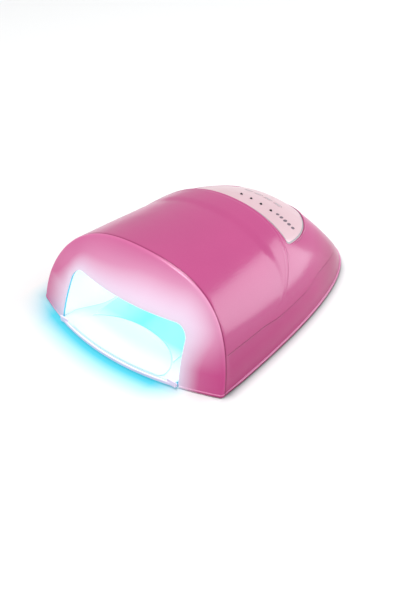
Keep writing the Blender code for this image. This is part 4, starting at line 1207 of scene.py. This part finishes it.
# ---------------- stage
def add_area_light(name, place, aim, size, power, color):
    data = bpy.data.lights.new(name, "AREA")
    data.shape = "RECTANGLE"
    data.size, data.size_y = size
    data.energy = power
    data.color = color
    light = link(name, data)
    light.location = place
    light.rotation_euler = (Vector(aim) - Vector(place)).to_track_quat("-Z", "Y").to_euler()
    light.visible_camera = False


def floor_finish():
    """A pale floor with painted light and shade: the lamp's cyan spill painted along its front, and a soft
    painted shadow round its foot.
    """
    paint = Paint("floor_white", (0.79, 0.79, 0.79, 1.0), 0.6, Emission_Color=linear(84, 222, 244))
    white = paint.blend(paint.noise(3.0), (0.785, 0.785, 0.785, 1.0), (0.795, 0.795, 0.795, 1.0))
    x, y, _ = paint.axes()
    across = x / HALF_WIDTH
    ahead = across * across * FRONT_BULGE + (Y_CORNER - FRONT_BULGE - FLANGE) - y
    # Painted light: the lamp's cyan spill on the floor in front of the opening, in the colour and the
    # emission.
    spill = ahead.part(0.032, 0.004) ** 1.7 * ahead.part(-0.02, -0.01)
    spill = spill * (x.part(0.078, 0.048) * x.part(-0.125, -0.080))
    # Painted shadow round the body's outline on the floor, darkest where it meets the body.
    run = (y - Y_CORNER).at_least(0.0) / SECTION_RUN
    body = (1.0 - run ** PLAN_POWERS[0]).at_least(0.0) ** (1 / PLAN_POWERS[1]) * (HALF_WIDTH + FLANGE)
    contact_shadow = (x.math("ABSOLUTE") - body).part(0.011, 0.0) ** 2.0
    contact_shadow = contact_shadow * y.part(-0.115, -0.100) * y.part(0.130, 0.105)
    white = paint.blend(contact_shadow * 0.8, white, (0.30, 0.30, 0.31, 1.0))
    paint.set("Base Color", paint.blend(spill, white, (0.02, 0.20, 0.26, 1.0)))
    paint.set("Emission Strength", spill * 0.62)
    return paint.material


def make_stage():
    bm = bmesh.new()
    bmesh.ops.create_grid(bm, x_segments=4, y_segments=4, size=3.0)
    mesh = bpy.data.meshes.new("floor")
    bm.to_mesh(mesh)
    bm.free()
    mesh.materials.append(floor_finish())
    link("floor", mesh)

    world = bpy.data.worlds.new("studio")
    bpy.context.scene.world = world
    world.use_nodes = True
    background = world.node_tree.nodes["Background"]
    background.inputs["Color"].default_value = (1.0, 1.0, 1.0, 1.0)
    background.inputs["Strength"].default_value = 0.64
    add_area_light("overhead", (-0.22, -0.15, 1.6), (0, 0, 0.03), (0.6, 0.6), 17.0, (1.0, 1.0, 1.0))
    add_area_light("softbox", (0.86, 1.14, 0.58), (0.07, 0.0, 0.06), (1.04, 0.92), 15.0, (0.90, 0.97, 1.0))
    add_area_light("lamp_glow", (0, -0.055, 0.0505), (0, -0.055, 0.0), (0.08, 0.12), 0.06, (0.45, 0.93, 1.0))


def make_camera():
    azimuth, elevation, distance = radians(39.84), radians(38.97), 0.8489
    target = Vector((0.0392, -0.0570, 0.0382))
    back = Vector((sin(azimuth) * cos(elevation), -cos(azimuth) * cos(elevation), sin(elevation)))
    data = bpy.data.cameras.new("camera")
    data.sensor_fit = "AUTO"
    data.sensor_width = 36.0
    data.lens = 58.8
    camera = link("camera", data)
    camera.location = target + back * distance
    camera.rotation_euler = back.to_track_quat("Z", "Y").to_euler()
    bpy.context.scene.camera = camera


def main():
    bpy.context.scene.view_settings.view_transform = "Standard"
    make_camera()
    make_stage()
    paints = make_materials()
    make_shell(paints["shell"], paints["crease"])
    make_panel(paints)
    make_base(paints)
    make_tray(paints)
    make_liner(paints)
    make_leds(paints)
    make_inlet(paints)
    paint_inner_parts(paints)


main()
